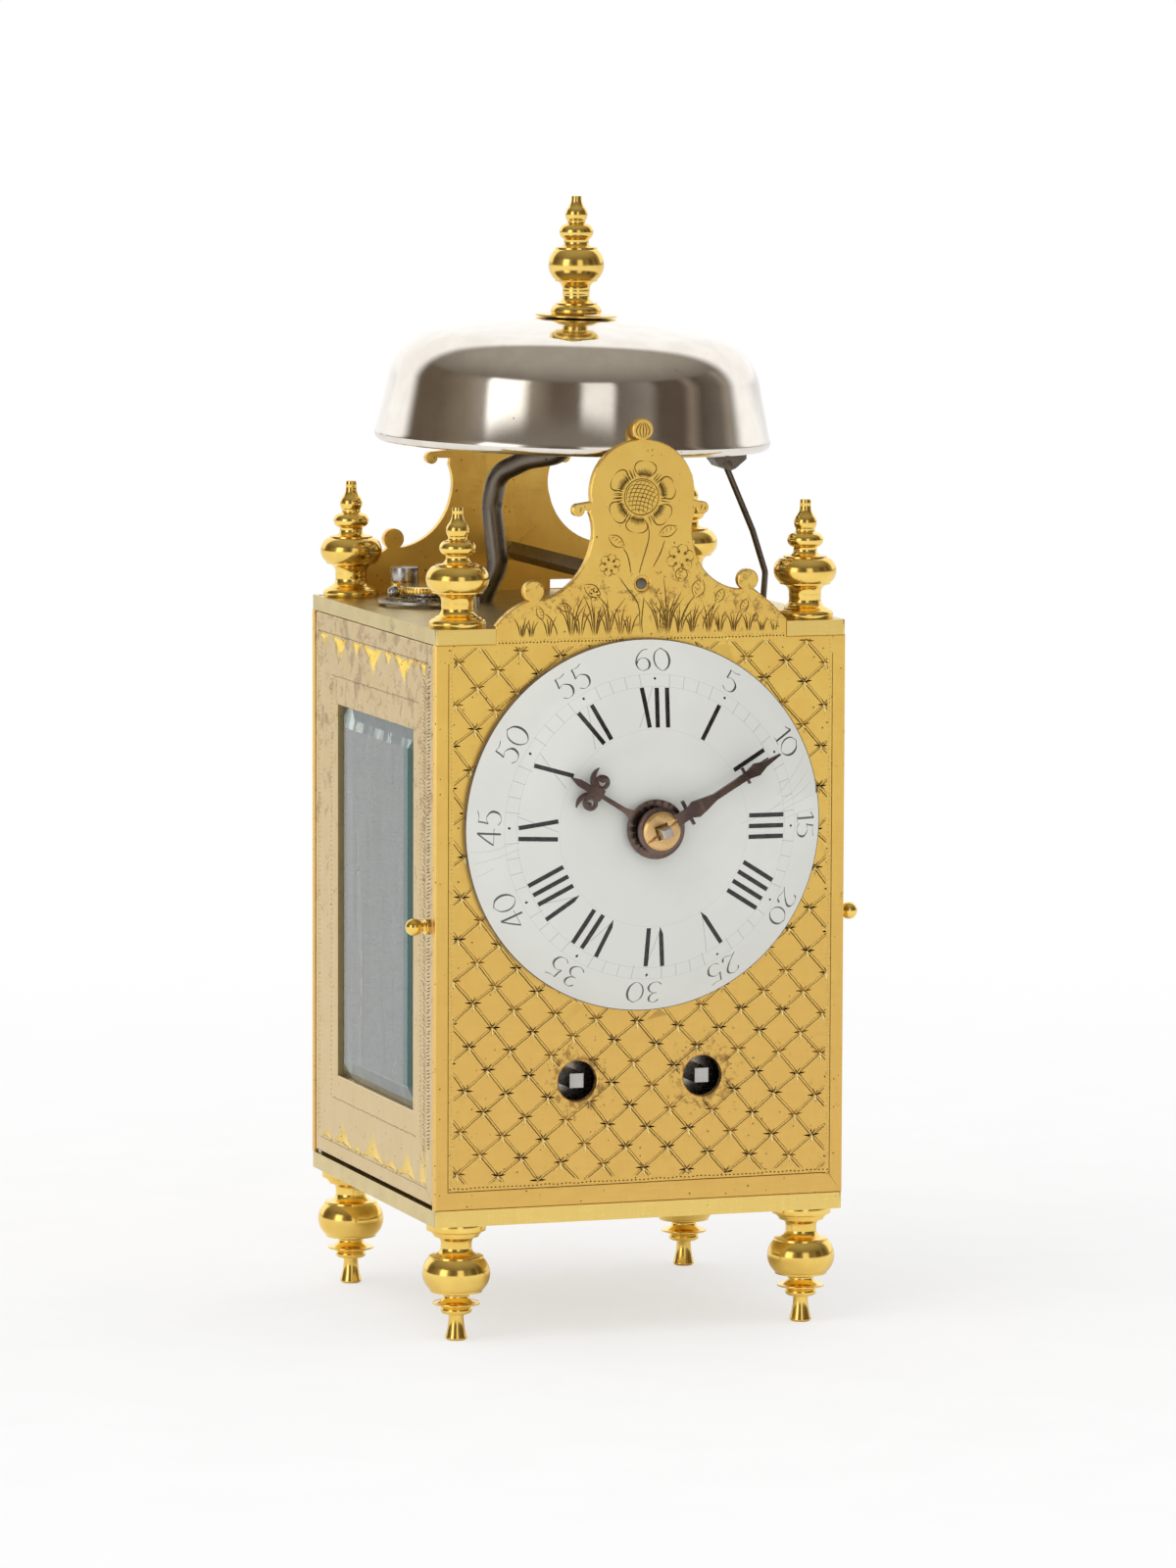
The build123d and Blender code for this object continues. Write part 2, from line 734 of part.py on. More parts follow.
def make_movement_front_plate():
    outline = movement_outline()
    for hole in running_holes():
        outline -= hole
    outline -= Pos(*centre_at) * Circle(centre_front_radius + running_clearance)
    plate = slab(outline, plate_front, plate_inner)
    plate += rod(minute_at, minute_stud, face_back + 0.25, plate_inner)
    for barrel in (going_barrel_at, strike_barrel_at):
        plate += rod(click_at(barrel), click_stud, ratchet_near - 0.4, plate_inner)
    return plate


def make_movement_back_plate():
    outline = movement_outline()
    for hole in running_holes():
        outline -= hole
    for at in (centre_at, crown_at):
        outline -= Pos(*at) * Circle(pivot_radius + running_clearance)
    return slab(outline, rear_inner, rear_outer)


def make_movement_pillars():
    """Turned pillars whose pinned ends pass through both plates."""
    pillars = []
    for at in pillars_at():
        pillar = rod(at, pillar_radius, plate_inner, rear_inner)
        pillar += rod(at, pillar_radius + 0.3, plate_inner, plate_inner + 1.6)
        pillar += rod(at, pillar_radius + 0.3, rear_inner - 1.6, rear_inner)
        pillar += rod(at, 1.1, plate_front - 1.6, rear_outer + 1.6)
        for y in (plate_front - 0.7, rear_outer + 0.7):
            pillar -= Pos(at[0], y, at[1]) * Rot(0, 90, 0) * Cylinder(0.35, 6)
        pillars.append(pillar)
    return pillars


# ---- The barrels, their arbors, ratchets and clicks ----------------------------------------

middle = (plate_inner + rear_inner) / 2
drum_half = 8.0
great_thickness = 1.0
going_wheel_level = (middle - drum_half - great_thickness, middle - drum_half)
strike_wheel_level = (middle + drum_half, middle + drum_half + great_thickness)
drum_short = drum_half - 0.6

going_module = module_between(going_barrel_at, intermediate_at, great_teeth, intermediate_pinion)
strike_module = module_between(strike_barrel_at, pin_wheel_at, great_teeth, pin_pinion)
intermediate_module = module_between(intermediate_at, centre_at, intermediate_teeth, centre_pinion)
centre_module = module_between(centre_at, third_at, centre_teeth, third_pinion)
third_module = module_between(third_at, crown_at, third_teeth, crown_pinion)
pin_module = module_between(pin_wheel_at, locking_at, pin_teeth, locking_pinion)
locking_module = module_between(locking_at, fly_at, locking_teeth, fly_pinion)

# each wheel after the first is turned so that its teeth lie in its neighbour's gaps
barrel_turn = 0.0
intermediate_pinion_turn = meshed_turn(
    going_barrel_at, intermediate_at, great_teeth, intermediate_pinion, barrel_turn
)
intermediate_turn = 0.1
centre_pinion_turn = meshed_turn(
    intermediate_at, centre_at, intermediate_teeth, centre_pinion, intermediate_turn
)
centre_turn = 0.0
third_pinion_turn = meshed_turn(centre_at, third_at, centre_teeth, third_pinion, centre_turn)
third_turn = 0.0
crown_pinion_turn = meshed_turn(third_at, crown_at, third_teeth, crown_pinion, third_turn)
pin_pinion_turn = meshed_turn(strike_barrel_at, pin_wheel_at, great_teeth, pin_pinion, barrel_turn)
pin_turn = 0.0
locking_pinion_turn = meshed_turn(pin_wheel_at, locking_at, pin_teeth, locking_pinion, pin_turn)
locking_turn = 0.0
fly_pinion_turn = meshed_turn(locking_at, fly_at, locking_teeth, fly_pinion, locking_turn)


def towards(direction, size):
    """The size, with the sign of the direction."""
    return size if direction > 0 else -size


def drum(at, module, wheel_level, closed, opened):
    """A barrel: a toothed disc, a drum wall and one end wall. closed and opened are the
    depths of its shut and its open end."""
    near, far = min(closed, opened), max(closed, opened)
    wall = rod(at, barrel_radius, near, far) - rod(at, barrel_radius - barrel_wall, near - 1, far + 1)
    wheel = gear(at, great_teeth, module, barrel_turn, *wheel_level)
    end_inside = closed + towards(opened - closed, barrel_wall)
    inner_end = rod(at, barrel_radius - barrel_wall, min(closed, end_inside), max(closed, end_inside))
    bore = arbor_radius + running_clearance
    return wall + wheel + inner_end - rod(at, bore, near - 2, far + 2)


def cover(at, opened, inward):
    """The disc that closes a barrel's open end."""
    near, far = sorted((opened, opened + towards(inward, barrel_wall)))
    disc = rod(at, barrel_radius - barrel_wall, near, far)
    return disc - rod(at, arbor_radius + running_clearance, near - 1, far + 1)


def mainspring(at, near, far):
    """A wound strip: a spiral outline with a constant thickness, from the hub to the wall."""
    inner, outer, turns, strip = 3.5, barrel_radius - barrel_wall - 0.05, 6, 0.28
    steps = 24 * turns
    out, home = [], []
    for step in range(steps + 1):
        angle = 2 * pi * turns * step / steps
        radius = inner + (outer - strip - inner) * step / steps
        out.append(((radius + strip) * cos(angle), (radius + strip) * sin(angle)))
        home.append((radius * cos(angle), radius * sin(angle)))
    outline = make_face(Polyline(*out, *reversed(home), close=True))
    return slab(Pos(*at) * outline, near, far)


def make_winding_arbor(at):
    """A squared arbor that runs through a barrel, with a hub for the mainspring's eye."""
    hub_half = 5.6
    body = rod(at, arbor_radius, ratchet_far, rear_outer)
    body += rod(at, 3.0, middle - hub_half, middle + hub_half)
    square = Pos(*at) * Rectangle(winding_square, winding_square)
    body += slab(square, front + 0.5, ratchet_far)
    collar_near = rod(at, 2.2, plate_inner + 0.1, plate_inner + 0.9)
    collar_far = rod(at, 2.2, rear_inner - 0.9, rear_inner - 0.1)
    return body + collar_near + collar_far


def make_ratchet(at):
    """A ratchet wheel: saw teeth around a square hole."""
    points = []
    for tooth in range(ratchet_teeth):
        low = 2 * pi * tooth / ratchet_teeth
        high = 2 * pi * (tooth + 0.92) / ratchet_teeth
        points.append(((ratchet_radius - 0.75) * cos(low), (ratchet_radius - 0.75) * sin(low)))
        points.append((ratchet_radius * cos(high), ratchet_radius * sin(high)))
    outline = make_face(Polyline(*points, close=True)) - Rectangle(winding_square, winding_square)
    return slab(Pos(*at) * outline, ratchet_near, ratchet_far)


def make_click(barrel):
    """A click on its stud, drawn with its beak held just clear of the ratchet's teeth."""
    at = click_at(barrel)
    away = degrees(atan2(barrel[1] - at[1], barrel[0] - at[0]))
    reach = hypot(barrel[0] - at[0], barrel[1] - at[1]) - ratchet_radius - 0.12
    way = 1 if barrel[0] < 0 else -1
    beak = Polyline((0, 1.4), (reach, 0.5), (reach, -0.5), (0, -1.4), close=True)
    tail = Pos(-2.2, 0) * Rectangle(3.0, 1.1)
    outline = make_face(beak) + Circle(1.7) + tail - Circle(click_stud + running_clearance)
    return slab(Pos(*at) * Rot(0, 0, away + way * 4) * outline, ratchet_near, ratchet_far)


def make_blade_springs():
    """Three blade springs: one for each click, and one for the hammer."""
    blades = []
    for barrel in (going_barrel_at, strike_barrel_at):
        x, z = click_at(barrel)
        way = -1 if barrel[0] < 0 else 1
        foot_x = x + way * 4.6
        foot = slab(Pos(foot_x, z + 9.0) * Rectangle(2.4, 4.0), ratchet_near, plate_front)
        leaf = Polyline(
            (foot_x - 0.15, z + 7.2), (foot_x + 0.15, z + 7.2), (x + way * 3.2 + 0.15, z + 3.3),
            (x + way * 3.2 - 0.15, z + 3.3), close=True,
        )
        blades.append(foot + slab(make_face(leaf), ratchet_near, ratchet_far))
    x, z = hammer_at
    foot = block(x - 2.0, x + 1.2, rear_inner - 1.2, rear_inner, z + 14, z + 19)
    leaf = block(x + 0.6, x + 0.9, rear_inner - 3.4, rear_inner - 1.2, z + 1.6, z + 19)
    blades.append(foot + leaf + block(x + 0.6, x + 1.2, rear_inner - 3.4, rear_inner - 0.6, z + 14, z + 19))
    return blades


# ---- The going train -----------------------------------------------------------------------

intermediate_level = (plate_inner + 8.0, plate_inner + 8.8)
centre_level = (middle + 2.0, middle + 2.8)
third_level = (rear_inner - 4.8, rear_inner - 4.0)


def make_intermediate_wheel():
    at = intermediate_at
    module = intermediate_module
    wheel = crossed_wheel(at, intermediate_teeth, module, intermediate_turn, *intermediate_level, 3.4)
    near, far = going_wheel_level
    turn = intermediate_pinion_turn
    leaves = gear(at, intermediate_pinion, going_module, turn, near - 0.4, far + 0.4, 0.36)
    return wheel + leaves + arbor(at, 1.0, plate_inner + 0.1, rear_inner - 0.1)


def make_centre_wheel():
    at = centre_at
    wheel = crossed_wheel(at, centre_teeth, centre_module, centre_turn, *centre_level, 3.2)
    near, far = intermediate_level
    leaves = gear(at, centre_pinion, intermediate_module, centre_pinion_turn, near - 0.4, far + 0.4, 0.36)
    body = rod(at, 1.2, plate_inner + 0.1, rear_inner - 0.1)
    body += rod(at, centre_front_radius, minute_hand_near, plate_inner + 0.5)
    body += rod(at, pivot_radius, rear_inner - 0.5, rear_outer)
    square = Pos(*at) * Rot(0, 0, square_turn) * Rectangle(arbor_square, arbor_square)
    end = chamfer(slab(square, front - hand_reach, minute_hand_near).faces().sort_by(Axis.Y)[0].edges(), 0.25)
    body += end
    return wheel + leaves + body


def make_third_wheel():
    at = third_at
    wheel = crossed_wheel(at, third_teeth, third_module, third_turn, *third_level, 2.4)
    near, far = centre_level
    leaves = gear(at, third_pinion, centre_module, third_pinion_turn, near - 0.5, far + 0.5, 0.34)
    return wheel + leaves + arbor(at, 0.7, plate_inner + 0.1, rear_inner - 0.1)


# the escapement is set out from the upright verge
verge_radius = 0.5
pallet_reach = 1.05
crown_radius = 4.0
crown_wall = 0.6
tooth_front = balance_y + 1.2
tooth_back = tooth_front + 1.9
crown_back = tooth_back + 2.4
nose_front = balance_y + 1.1
nose_back = nose_front + 0.8
potence_y = (balance_y - 5.5, balance_y - 2.5)
foot_top = crown_at[1] - crown_radius - 3.3


def make_crown_wheel():
    """A cup whose rim carries the escape teeth, on an arbor that ends at the verge."""
    at = crown_at
    rim = rod(at, crown_radius, tooth_back, crown_back)
    rim -= rod(at, crown_radius - crown_wall, tooth_back - 1, crown_back)
    web = rod(at, crown_radius, crown_back - 0.6, crown_back)
    wheel = rim + web
    tooth = Polyline((-0.4, 0), (0.4, 0), (0.4, 1.9), (0.25, 1.9), close=True)
    for count in range(crown_teeth):
        point = extrude(Plane.YZ * Rot(0, 0, 90) * make_face(tooth), crown_wall / 2, both=True)
        point = Pos(crown_radius - crown_wall / 2, tooth_back + 0.05, 0) * point
        wheel += Pos(at[0], 0, at[1]) * Rot(0, count * 360 / crown_teeth, 0) * point
    near, far = third_level
    wheel += gear(at, crown_pinion, third_module, crown_pinion_turn, near - 0.4, far + 0.4, 0.34)
    wheel += rod(at, 0.6, nose_back + 0.1, rear_inner - 0.1)
    wheel += rod(at, 0.3, nose_front + 0.1, nose_back + 0.5)
    return wheel + rod(at, pivot_radius, rear_inner - 0.5, rear_outer)


def make_verge():
    """An upright staff with two pallets set at right angles, between which the crown wheel
    turns, and a collet for the balance."""
    x, y = balance_x, balance_y
    low, high = foot_top + 0.1, roof + cock_low - 0.75
    staff = upright(x, y, verge_radius, low, high)
    staff += upright(x, y, 0.25, foot_top - 1.0, low + 0.2)
    staff += upright(x, y, 0.25, high - 0.2, roof + cock_high - 0.3)
    staff += upright(x, y, 0.85, roof + balance_lift - 0.5, roof + balance_lift + balance_thickness + 0.12)
    for height, turn in ((crown_radius - 0.3, 45), (0.3 - crown_radius, 135)):
        z = crown_at[1] + height
        pallet = block(0, pallet_reach, -0.15, 0.15, z - 0.8, z + 0.8)
        staff += Pos(x, y, 0) * Rot(0, 0, turn) * pallet
    return staff


def make_balance_wheel():
    """A plain flat balance: a rim and three arms."""
    ring = Circle(balance_radius) - Circle(balance_radius - 1.1)
    for arm in range(3):
        spoke = Rectangle(balance_radius - 0.5, 0.9, align=(Align.MIN, Align.CENTER))
        ring += Rot(0, 0, 30 + 120 * arm) * spoke
    ring += Circle(1.7)
    ring -= Circle(0.85)
    disc = extrude(ring, balance_thickness)
    return Pos(balance_x, balance_y, roof + balance_lift) * disc


def make_balance_spring():
    """A flat spiral above the balance, from near its collet to a stud on the top plate."""
    inner, outer, turns, strip = 1.1, 3.0, 4, 0.12
    steps = 24 * turns
    out, home = [], []
    for step in range(steps + 1):
        angle = 2 * pi * turns * step / steps
        radius = inner + (outer - inner) * step / steps
        out.append(((radius + strip) * cos(angle), (radius + strip) * sin(angle)))
        home.append((radius * cos(angle), radius * sin(angle)))
    outline = make_face(Polyline(*out, *reversed(home), close=True))
    tail = Pos(outer, 0) * Rectangle(stud_reach - outer, strip, align=(Align.MIN, Align.CENTER))
    strip_turn = Pos(balance_x, balance_y, roof + spring_low) * Rot(0, 0, stud_turn)
    spiral = strip_turn * extrude(outline + tail, 0.2)
    return spiral + upright(*spring_stud, 0.4, roof - top_thickness + 0.2, roof + spring_low + 0.5)


spring_low = balance_lift + balance_thickness + 0.13
stud_turn = -50
stud_reach = balance_radius + 0.9
spring_stud = (
    balance_x + stud_reach * cos(radians(stud_turn)),
    balance_y + stud_reach * sin(radians(stud_turn)),
)
index_low = spring_low + 0.27
index_high = cock_low - 0.08
cock_screw_x = balance_x - 0.5
cock_screw_y = balance_y + 9.5
index_reach = 5.1
index_bore = 1.3


def make_regulator_index():
    """A flat ring that turns on the cock's boss, with a ball for the finger on its left."""
    ring = Circle(2.1) - Circle(index_bore + running_clearance)
    ring += Pos(-(index_reach + 1.9) / 2, 0) * Rectangle(index_reach - 1.9, 0.9)
    disc = Pos(balance_x, balance_y, roof + index_low) * extrude(ring, index_high - index_low)
    # the ball's seam is turned away from the arm
    ball = Pos(balance_x - index_reach, balance_y, roof + 1.95) * Rot(0, 0, 180) * Sphere(0.9)
    return disc + ball


def make_balance_cock():
    """A round table with a milled edge over the balance, a tail back to its foot, and a boss
    below in which the verge's upper pivot runs and on which the regulator turns."""
    notches = 44
    table = Circle(cock_radius)
    for notch in range(notches):
        angle = 2 * pi * notch / notches
        table -= Pos(cock_radius * cos(angle), cock_radius * sin(angle)) * Circle(0.13)
    tail = Pos(-0.25, (cock_screw_y - balance_y) / 2 + 0.7) * Rectangle(3.6, cock_screw_y - balance_y + 1.4)
    plan = table + tail + Pos(cock_screw_x - balance_x, cock_screw_y - balance_y) * Circle(2.0)
    cock = Pos(balance_x, balance_y, roof + cock_low) * extrude(plan, cock_high - cock_low)
    cock += upright(cock_screw_x, cock_screw_y, 1.9, roof, roof + cock_low)
    cock += upright(balance_x, balance_y, index_bore, roof + index_low + 0.02, roof + cock_low)
    cock -= upright(cock_screw_x, cock_screw_y, 0.9, roof - 1, roof + cock_high + 1)
    return cock - upright(balance_x, balance_y, 0.3, roof, roof + cock_high + 1)


def make_cock_screw():
    screw = upright(cock_screw_x, cock_screw_y, cock_screw_radius, roof + cock_high, roof + cock_high + 2.0)
    return screw + upright(cock_screw_x, cock_screw_y, 0.88, roof_low + 0.1, roof + cock_high)


def make_verge_potence():
    """The bracket under the top plate: a post, a foot for the verge's lower pivot, and a nose
    that reaches past the verge to the crown wheel's front pivot."""
    x, z = crown_at
    near, far = potence_y
    post = block(x - 1.6, x + 1.6, near, far, foot_top - 2.0, roof_low)
    foot = block(x - 1.3, x + 1.3, far - 0.1, balance_y + 1.3, foot_top - 2.0, foot_top)
    foot -= upright(balance_x, balance_y, 0.3, foot_top - 1.2, foot_top + 1)
    arm = block(x + 0.9, x + 1.6, far - 0.1, nose_back, z - 0.7, z + 0.7)
    nose = block(x - 0.8, x + 1.6, nose_front, nose_back, z - 0.7, z + 0.7)
    nose -= rod(crown_at, 0.35, nose_front - 1, nose_back + 1)
    flange = block(x - 1.6, x + 4.4, near, far, roof_low - 1.4, roof_low)
    return post + foot + arm + nose + flange


# ---- The strike train ----------------------------------------------------------------------

pin_level = (middle + 11.8, middle + 12.6)
locking_level = (rear_inner - 6.0, rear_inner - 5.2)
pin_circle = 9.0
pin_radius = 0.4
pin_count = 8
tail_reach = 2.35
fly_near = plate_inner + 3.6
fly_far = plate_inner + 14.6


def make_pin_wheel():
    at = pin_wheel_at
    wheel = crossed_wheel(at, pin_teeth, pin_module, pin_turn, *pin_level, 2.4)
    for count in range(pin_count):
        angle = 2 * pi * (count + 0.5) / pin_count
        place = (at[0] + pin_circle * cos(angle), at[1] + pin_circle * sin(angle))
        wheel += rod(place, pin_radius, pin_level[0] - 1.9, pin_level[1])
    near, far = strike_wheel_level
    leaves = gear(at, pin_pinion, strike_module, pin_pinion_turn, near - 0.4, far + 0.4, 0.36)
    return wheel + leaves + arbor(at, 1.0, plate_inner + 0.1, rear_inner - 0.1)


def make_locking_wheel():
    at = locking_at
    wheel = crossed_wheel(at, locking_teeth, locking_module, locking_turn, *locking_level, 2.2)
    near, far = pin_level
    leaves = gear(at, locking_pinion, pin_module, locking_pinion_turn, near - 0.3, far + 0.4, 0.34)
    return wheel + leaves + arbor(at, 0.7, plate_inner + 0.1, rear_inner - 0.1)


def make_fly():
    """The fan that steadies the strike: two thin blades on a pinioned arbor."""
    at = fly_at
    near, far = locking_level
    body = arbor(at, 0.7, plate_inner + 0.1, rear_inner - 0.1)
    body += gear(at, fly_pinion, locking_module, fly_pinion_turn, near - 0.4, far + 0.4, 0.34)
    blades = Pos(*at) * (Rot(0, 0, 30) * Rectangle(12, 0.4) + Circle(1.2))
    return body + slab(blades, fly_near, fly_far)


def make_hammer_arbor():
    """The hammer's arbor, its tail beside the pin wheel, and the bent shank that rises
    through the top plate to the head."""
    x, z = hammer_at
    body = arbor(hammer_at, 0.9, plate_inner + 0.1, rear_inner - 0.1)
    toward = degrees(atan2(pin_wheel_at[1] - z, pin_wheel_at[0] - x))
    tail = Polyline((0, 0.9), (tail_reach, 0.35), (tail_reach, -0.35), (0, -0.9), close=True)
    body += slab(Pos(x, z) * Rot(0, 0, toward) * make_face(tail), pin_level[0] - 1.7, pin_level[0] - 0.5)
    route = [
        (x, hammer_depth, z),
        (x + 0.2, hammer_depth, roof_low - 12),
        (26.85, hammer_depth, roof + 0.5),
        (27.15, hammer_depth, roof + 4.6),
        (bell_radius - 2.7, hammer_depth, roof + 10.6),
        (bell_radius - 6.65, hammer_depth, bell_low - 3.4),
    ]
    path = FilletPolyline(*route, radius=2.0)
    start = Plane(origin=path @ 0, z_dir=path % 0)
    return body + sweep(start * Circle(shank_radius), path)


def make_hammer_head():
    """A wedge of steel on the end of the shank, just inside the bell's mouth."""
    corners_from_lip = (
        (-9.1, -2.1),
        (-8.3, -3.1),
        (-6.6, -3.7),
        (-5.9, -3.4),
        (-4.3, -2.1),
        (-4.3, 1.2),
        (-8.5, 1.8),
    )
    outline = Polyline(*[(bell_radius + x, bell_low + z) for x, z in corners_from_lip], close=True)
    head = slab(make_face(outline), hammer_depth - 1.8, hammer_depth + 1.8)
    return head - make_hammer_arbor()


def make_letoff_arbor():
    """The squared arbor between the two crests, with a finger that hangs through the top
    plate."""
    x, z = letoff_at
    body = slab(Pos(x, z) * Rot(0, 0, 45) * Rectangle(1.9, 1.9), face_back + 0.15, back_inner - 0.15)
    body += rod(letoff_at, letoff_pivot, front + 0.25, back - 0.1)
    finger = Pos(x, z - 4.6) * Rectangle(1.1, 9.2)
    return body + slab(finger, letoff_depth - 0.5, letoff_depth + 0.5)


# ---- The bell and its stand ----------------------------------------------------------------

bell_low = roof + bell_rim_height
bell_top = bell_low + bell_depth


def tilted(shape):
    """Leans a piece with the bell, about the top of the bell."""
    return Pos(0, 0, bell_top) * Rot(0, bell_tilt, 0) * shape


def make_bell():
    """A shallow bell: a gently domed crown, a full shoulder, flaring sides and a round lip.
    The profile is drawn downwards from the crown, outside first and then inside."""
    r, d, w, hole = bell_radius, -bell_depth, bell_wall, bell_hole_radius
    half_way = 0.35 * r
    crown_ball = ((0.7 * r) ** 2 + 2.1**2) / (2 * 2.1)
    drop = crown_ball - sqrt(crown_ball**2 - half_way**2)
    edges = [
        ThreePointArc((hole, 0), (half_way, -drop), (0.7 * r, -2.1)),
        ThreePointArc((0.7 * r, -2.1), (0.875 * r, -5.0), (0.935 * r, -8.5)),
        Line((0.935 * r, -8.5), (r - 0.1, d + 1.7)),
        ThreePointArc((r - 0.1, d + 1.7), (r - 0.2, d + 0.35), (r - 1.0, d)),
        Line((r - 1.0, d), (r - 1.7, d)),
        Line((r - 1.7, d), (r - 1.9, d + 0.5)),
        Line((r - 1.9, d + 0.5), (0.935 * r - w, -8.7)),
        ThreePointArc((0.935 * r - w, -8.7), (0.875 * r - w, -5.7), (0.7 * r - 0.6, -2.1 - w)),
        ThreePointArc((0.7 * r - 0.6, -2.1 - w), (half_way, -drop - w), (hole, -w)),
        Line((hole, -w), (hole, 0)),
    ]
    return tilted(revolve(Plane.XZ * make_face(edges), Axis.Z))


def make_bell_washer():
    washer = Cylinder(5.75, 0.3, align=(Align.CENTER, Align.CENTER, Align.MIN))
    return tilted(washer - Cylinder(bell_hole_radius, 3))


finial_seat = bell_top + 0.3 + 0.1
bell_stud = 1.1


def make_bell_finial():
    """The turned finial that holds the bell down."""
    finial = turned(
        (3.5, 0),
        (3.6, 0.3),
        (3.45, 0.9, 2.95, 1.3),
        (2.95, 1.55),
        (2.05, 2.0, 1.93, 2.9),
        (1.93, 3.3),
        (2.2, 4.2, 3.0, 4.6),
        (3.0, 4.8),
        (3.93, 6.8, 3.1, 9.0),
        (2.93, 9.1),
        (2.93, 9.4),
        (1.95, 9.6, 1.77, 10.2),
        (1.77, 10.5),
        (2.4, 11.6, 1.45, 12.7),
        (1.27, 12.8),
        (1.27, 13.1),
        (1.57, 14.0, 1.1, 15.1),
        (0.8, 15.8, 0.7, 16.6),
    )
    finial -= upright(0, 0, bell_stud, -1, 5)
    return Pos(0, 0, finial_seat) * finial


def make_bell_stand():
    """A forged rod, cranked above its foot and curving under the bell to a screwed end."""
    foot_x, foot_y = stand_foot
    span = hypot(foot_x, foot_y)

    def along(s, height):
        return (foot_x * (1 - s / span), foot_y * (1 - s / span), roof + height)

    shoulder = bell_rim_height + bell_depth - bell_wall - 0.1
    route = [
        along(0, -top_thickness - 1.2),
        along(0, 0.4),
        along(2.6, 5.2),
        along(1.5, 13.6),
        along(2.4, 18.4),
        along(7.3, 20.6),
        along(12.3, 21.5),
        along(span, 25.0),
        along(span, shoulder),
    ]
    path = FilletPolyline(*route, radius=[3.0, 4.0, 6.0, 3.6, 6.0, 3.2, 3.0])
    start = Plane(origin=path @ 0, z_dir=path % 0)
    stand = sweep(start * Circle(stand_radius), path)
    return stand + upright(0, 0, bell_stud, roof + shoulder - 1, finial_seat + 4.6)


# ---- All the pieces ------------------------------------------------------------------------


def all_nodes():
    left_door, left_glass, left_knob = make_left_door(), make_left_glass(), make_left_knob()
    nodes = {
        "base_plate": make_base_plate(),
        "top_plate": make_top_plate(),
        "front_plate": make_front_plate(),
        "back_plate": make_back_plate(),
        "corner_posts": make_corner_posts(),
        "feet": [Pos(x, y, 0) * make_foot() for x, y in corners()],
        "corner_finials": [Pos(x, y, roof) * make_finial() for x, y in corners()],
        "door_hinge_pins": make_hinge_pins(),
        "dial": make_dial(),
        "taper_pins": make_taper_pins(),
        "bell": make_bell(),
        "bell_washer": make_bell_washer(),
        "bell_finial": make_bell_finial(),
        "bell_stand": make_bell_stand(),
        "movement_front_plate": make_movement_front_plate(),
        "movement_back_plate": make_movement_back_plate(),
        "movement_pillars": make_movement_pillars(),
        "blade_springs": make_blade_springs(),
        "balance_cock": make_balance_cock(),
        "cock_screw": make_cock_screw(),
        "balance_spring": make_balance_spring(),
        "verge_potence": make_verge_potence(),
        "going_barrel": drum(
            going_barrel_at, going_module, going_wheel_level, middle - drum_half, middle + drum_short
        ),
        "going_barrel_cover": cover(going_barrel_at, middle + drum_short, -1),
        "going_mainspring": mainspring(going_barrel_at, middle - drum_half + 1.2, middle + drum_short - 1.2),
        "strike_barrel": drum(
            strike_barrel_at, strike_module, strike_wheel_level, middle + drum_half, middle - drum_short
        ),
        "strike_barrel_cover": cover(strike_barrel_at, middle - drum_short, 1),
        "strike_mainspring": mainspring(
            strike_barrel_at, middle - drum_short + 1.2, middle + drum_half - 1.2
        ),
        "intermediate_wheel": make_intermediate_wheel(),
        "centre_wheel": make_centre_wheel(),
        "cannon_pinion": make_cannon_pinion(),
        "minute_wheel": make_minute_wheel(),
        "hour_wheel": make_hour_wheel(),
        "third_wheel": make_third_wheel(),
        "crown_wheel": make_crown_wheel(),
        "verge": make_verge(),
        "balance_wheel": make_balance_wheel(),
        "regulator_index": make_regulator_index(),
        "hour_hand": make_hour_hand(),
        "minute_hand": make_minute_hand(),
        "hand_nut": make_hand_nut(),
        "pin_wheel": make_pin_wheel(),
        "locking_wheel": make_locking_wheel(),
        "fly": make_fly(),
        "hammer_arbor": make_hammer_arbor(),
        "hammer_head": make_hammer_head(),
        "letoff_arbor": make_letoff_arbor(),
    }
    for name, at in (("going", going_barrel_at), ("strike", strike_barrel_at)):
        nodes[name + "_winding_arbor"] = make_winding_arbor(at)
        nodes[name + "_ratchet"] = make_ratchet(at)
        nodes[name + "_click"] = make_click(at)
    for name, shape in (("door", left_door), ("glass", left_glass), ("knob", left_knob)):
        nodes["left_" + name], nodes["right_" + name] = both_sides(shape)
    return nodes


def main():
    os.makedirs("parts", exist_ok=True)
    for name, shape in all_nodes().items():
        found = shape if isinstance(shape, list) else shape.solids()
        solids = [Pos(0, middle_shift, 0) * solid for solid in found]
        whole = solids[0] if len(solids) == 1 else Compound(children=solids)
        export_step(whole, f"parts/{name}.step")
        print(name, len(solids), "solid(s)")


main()
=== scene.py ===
import json
import math

import bmesh
import bpy
import numpy as np
from bpy.props import FloatProperty, FloatVectorProperty, IntProperty, PointerProperty
from mathutils import Matrix, Vector
from mathutils.geometry import delaunay_2d_cdt

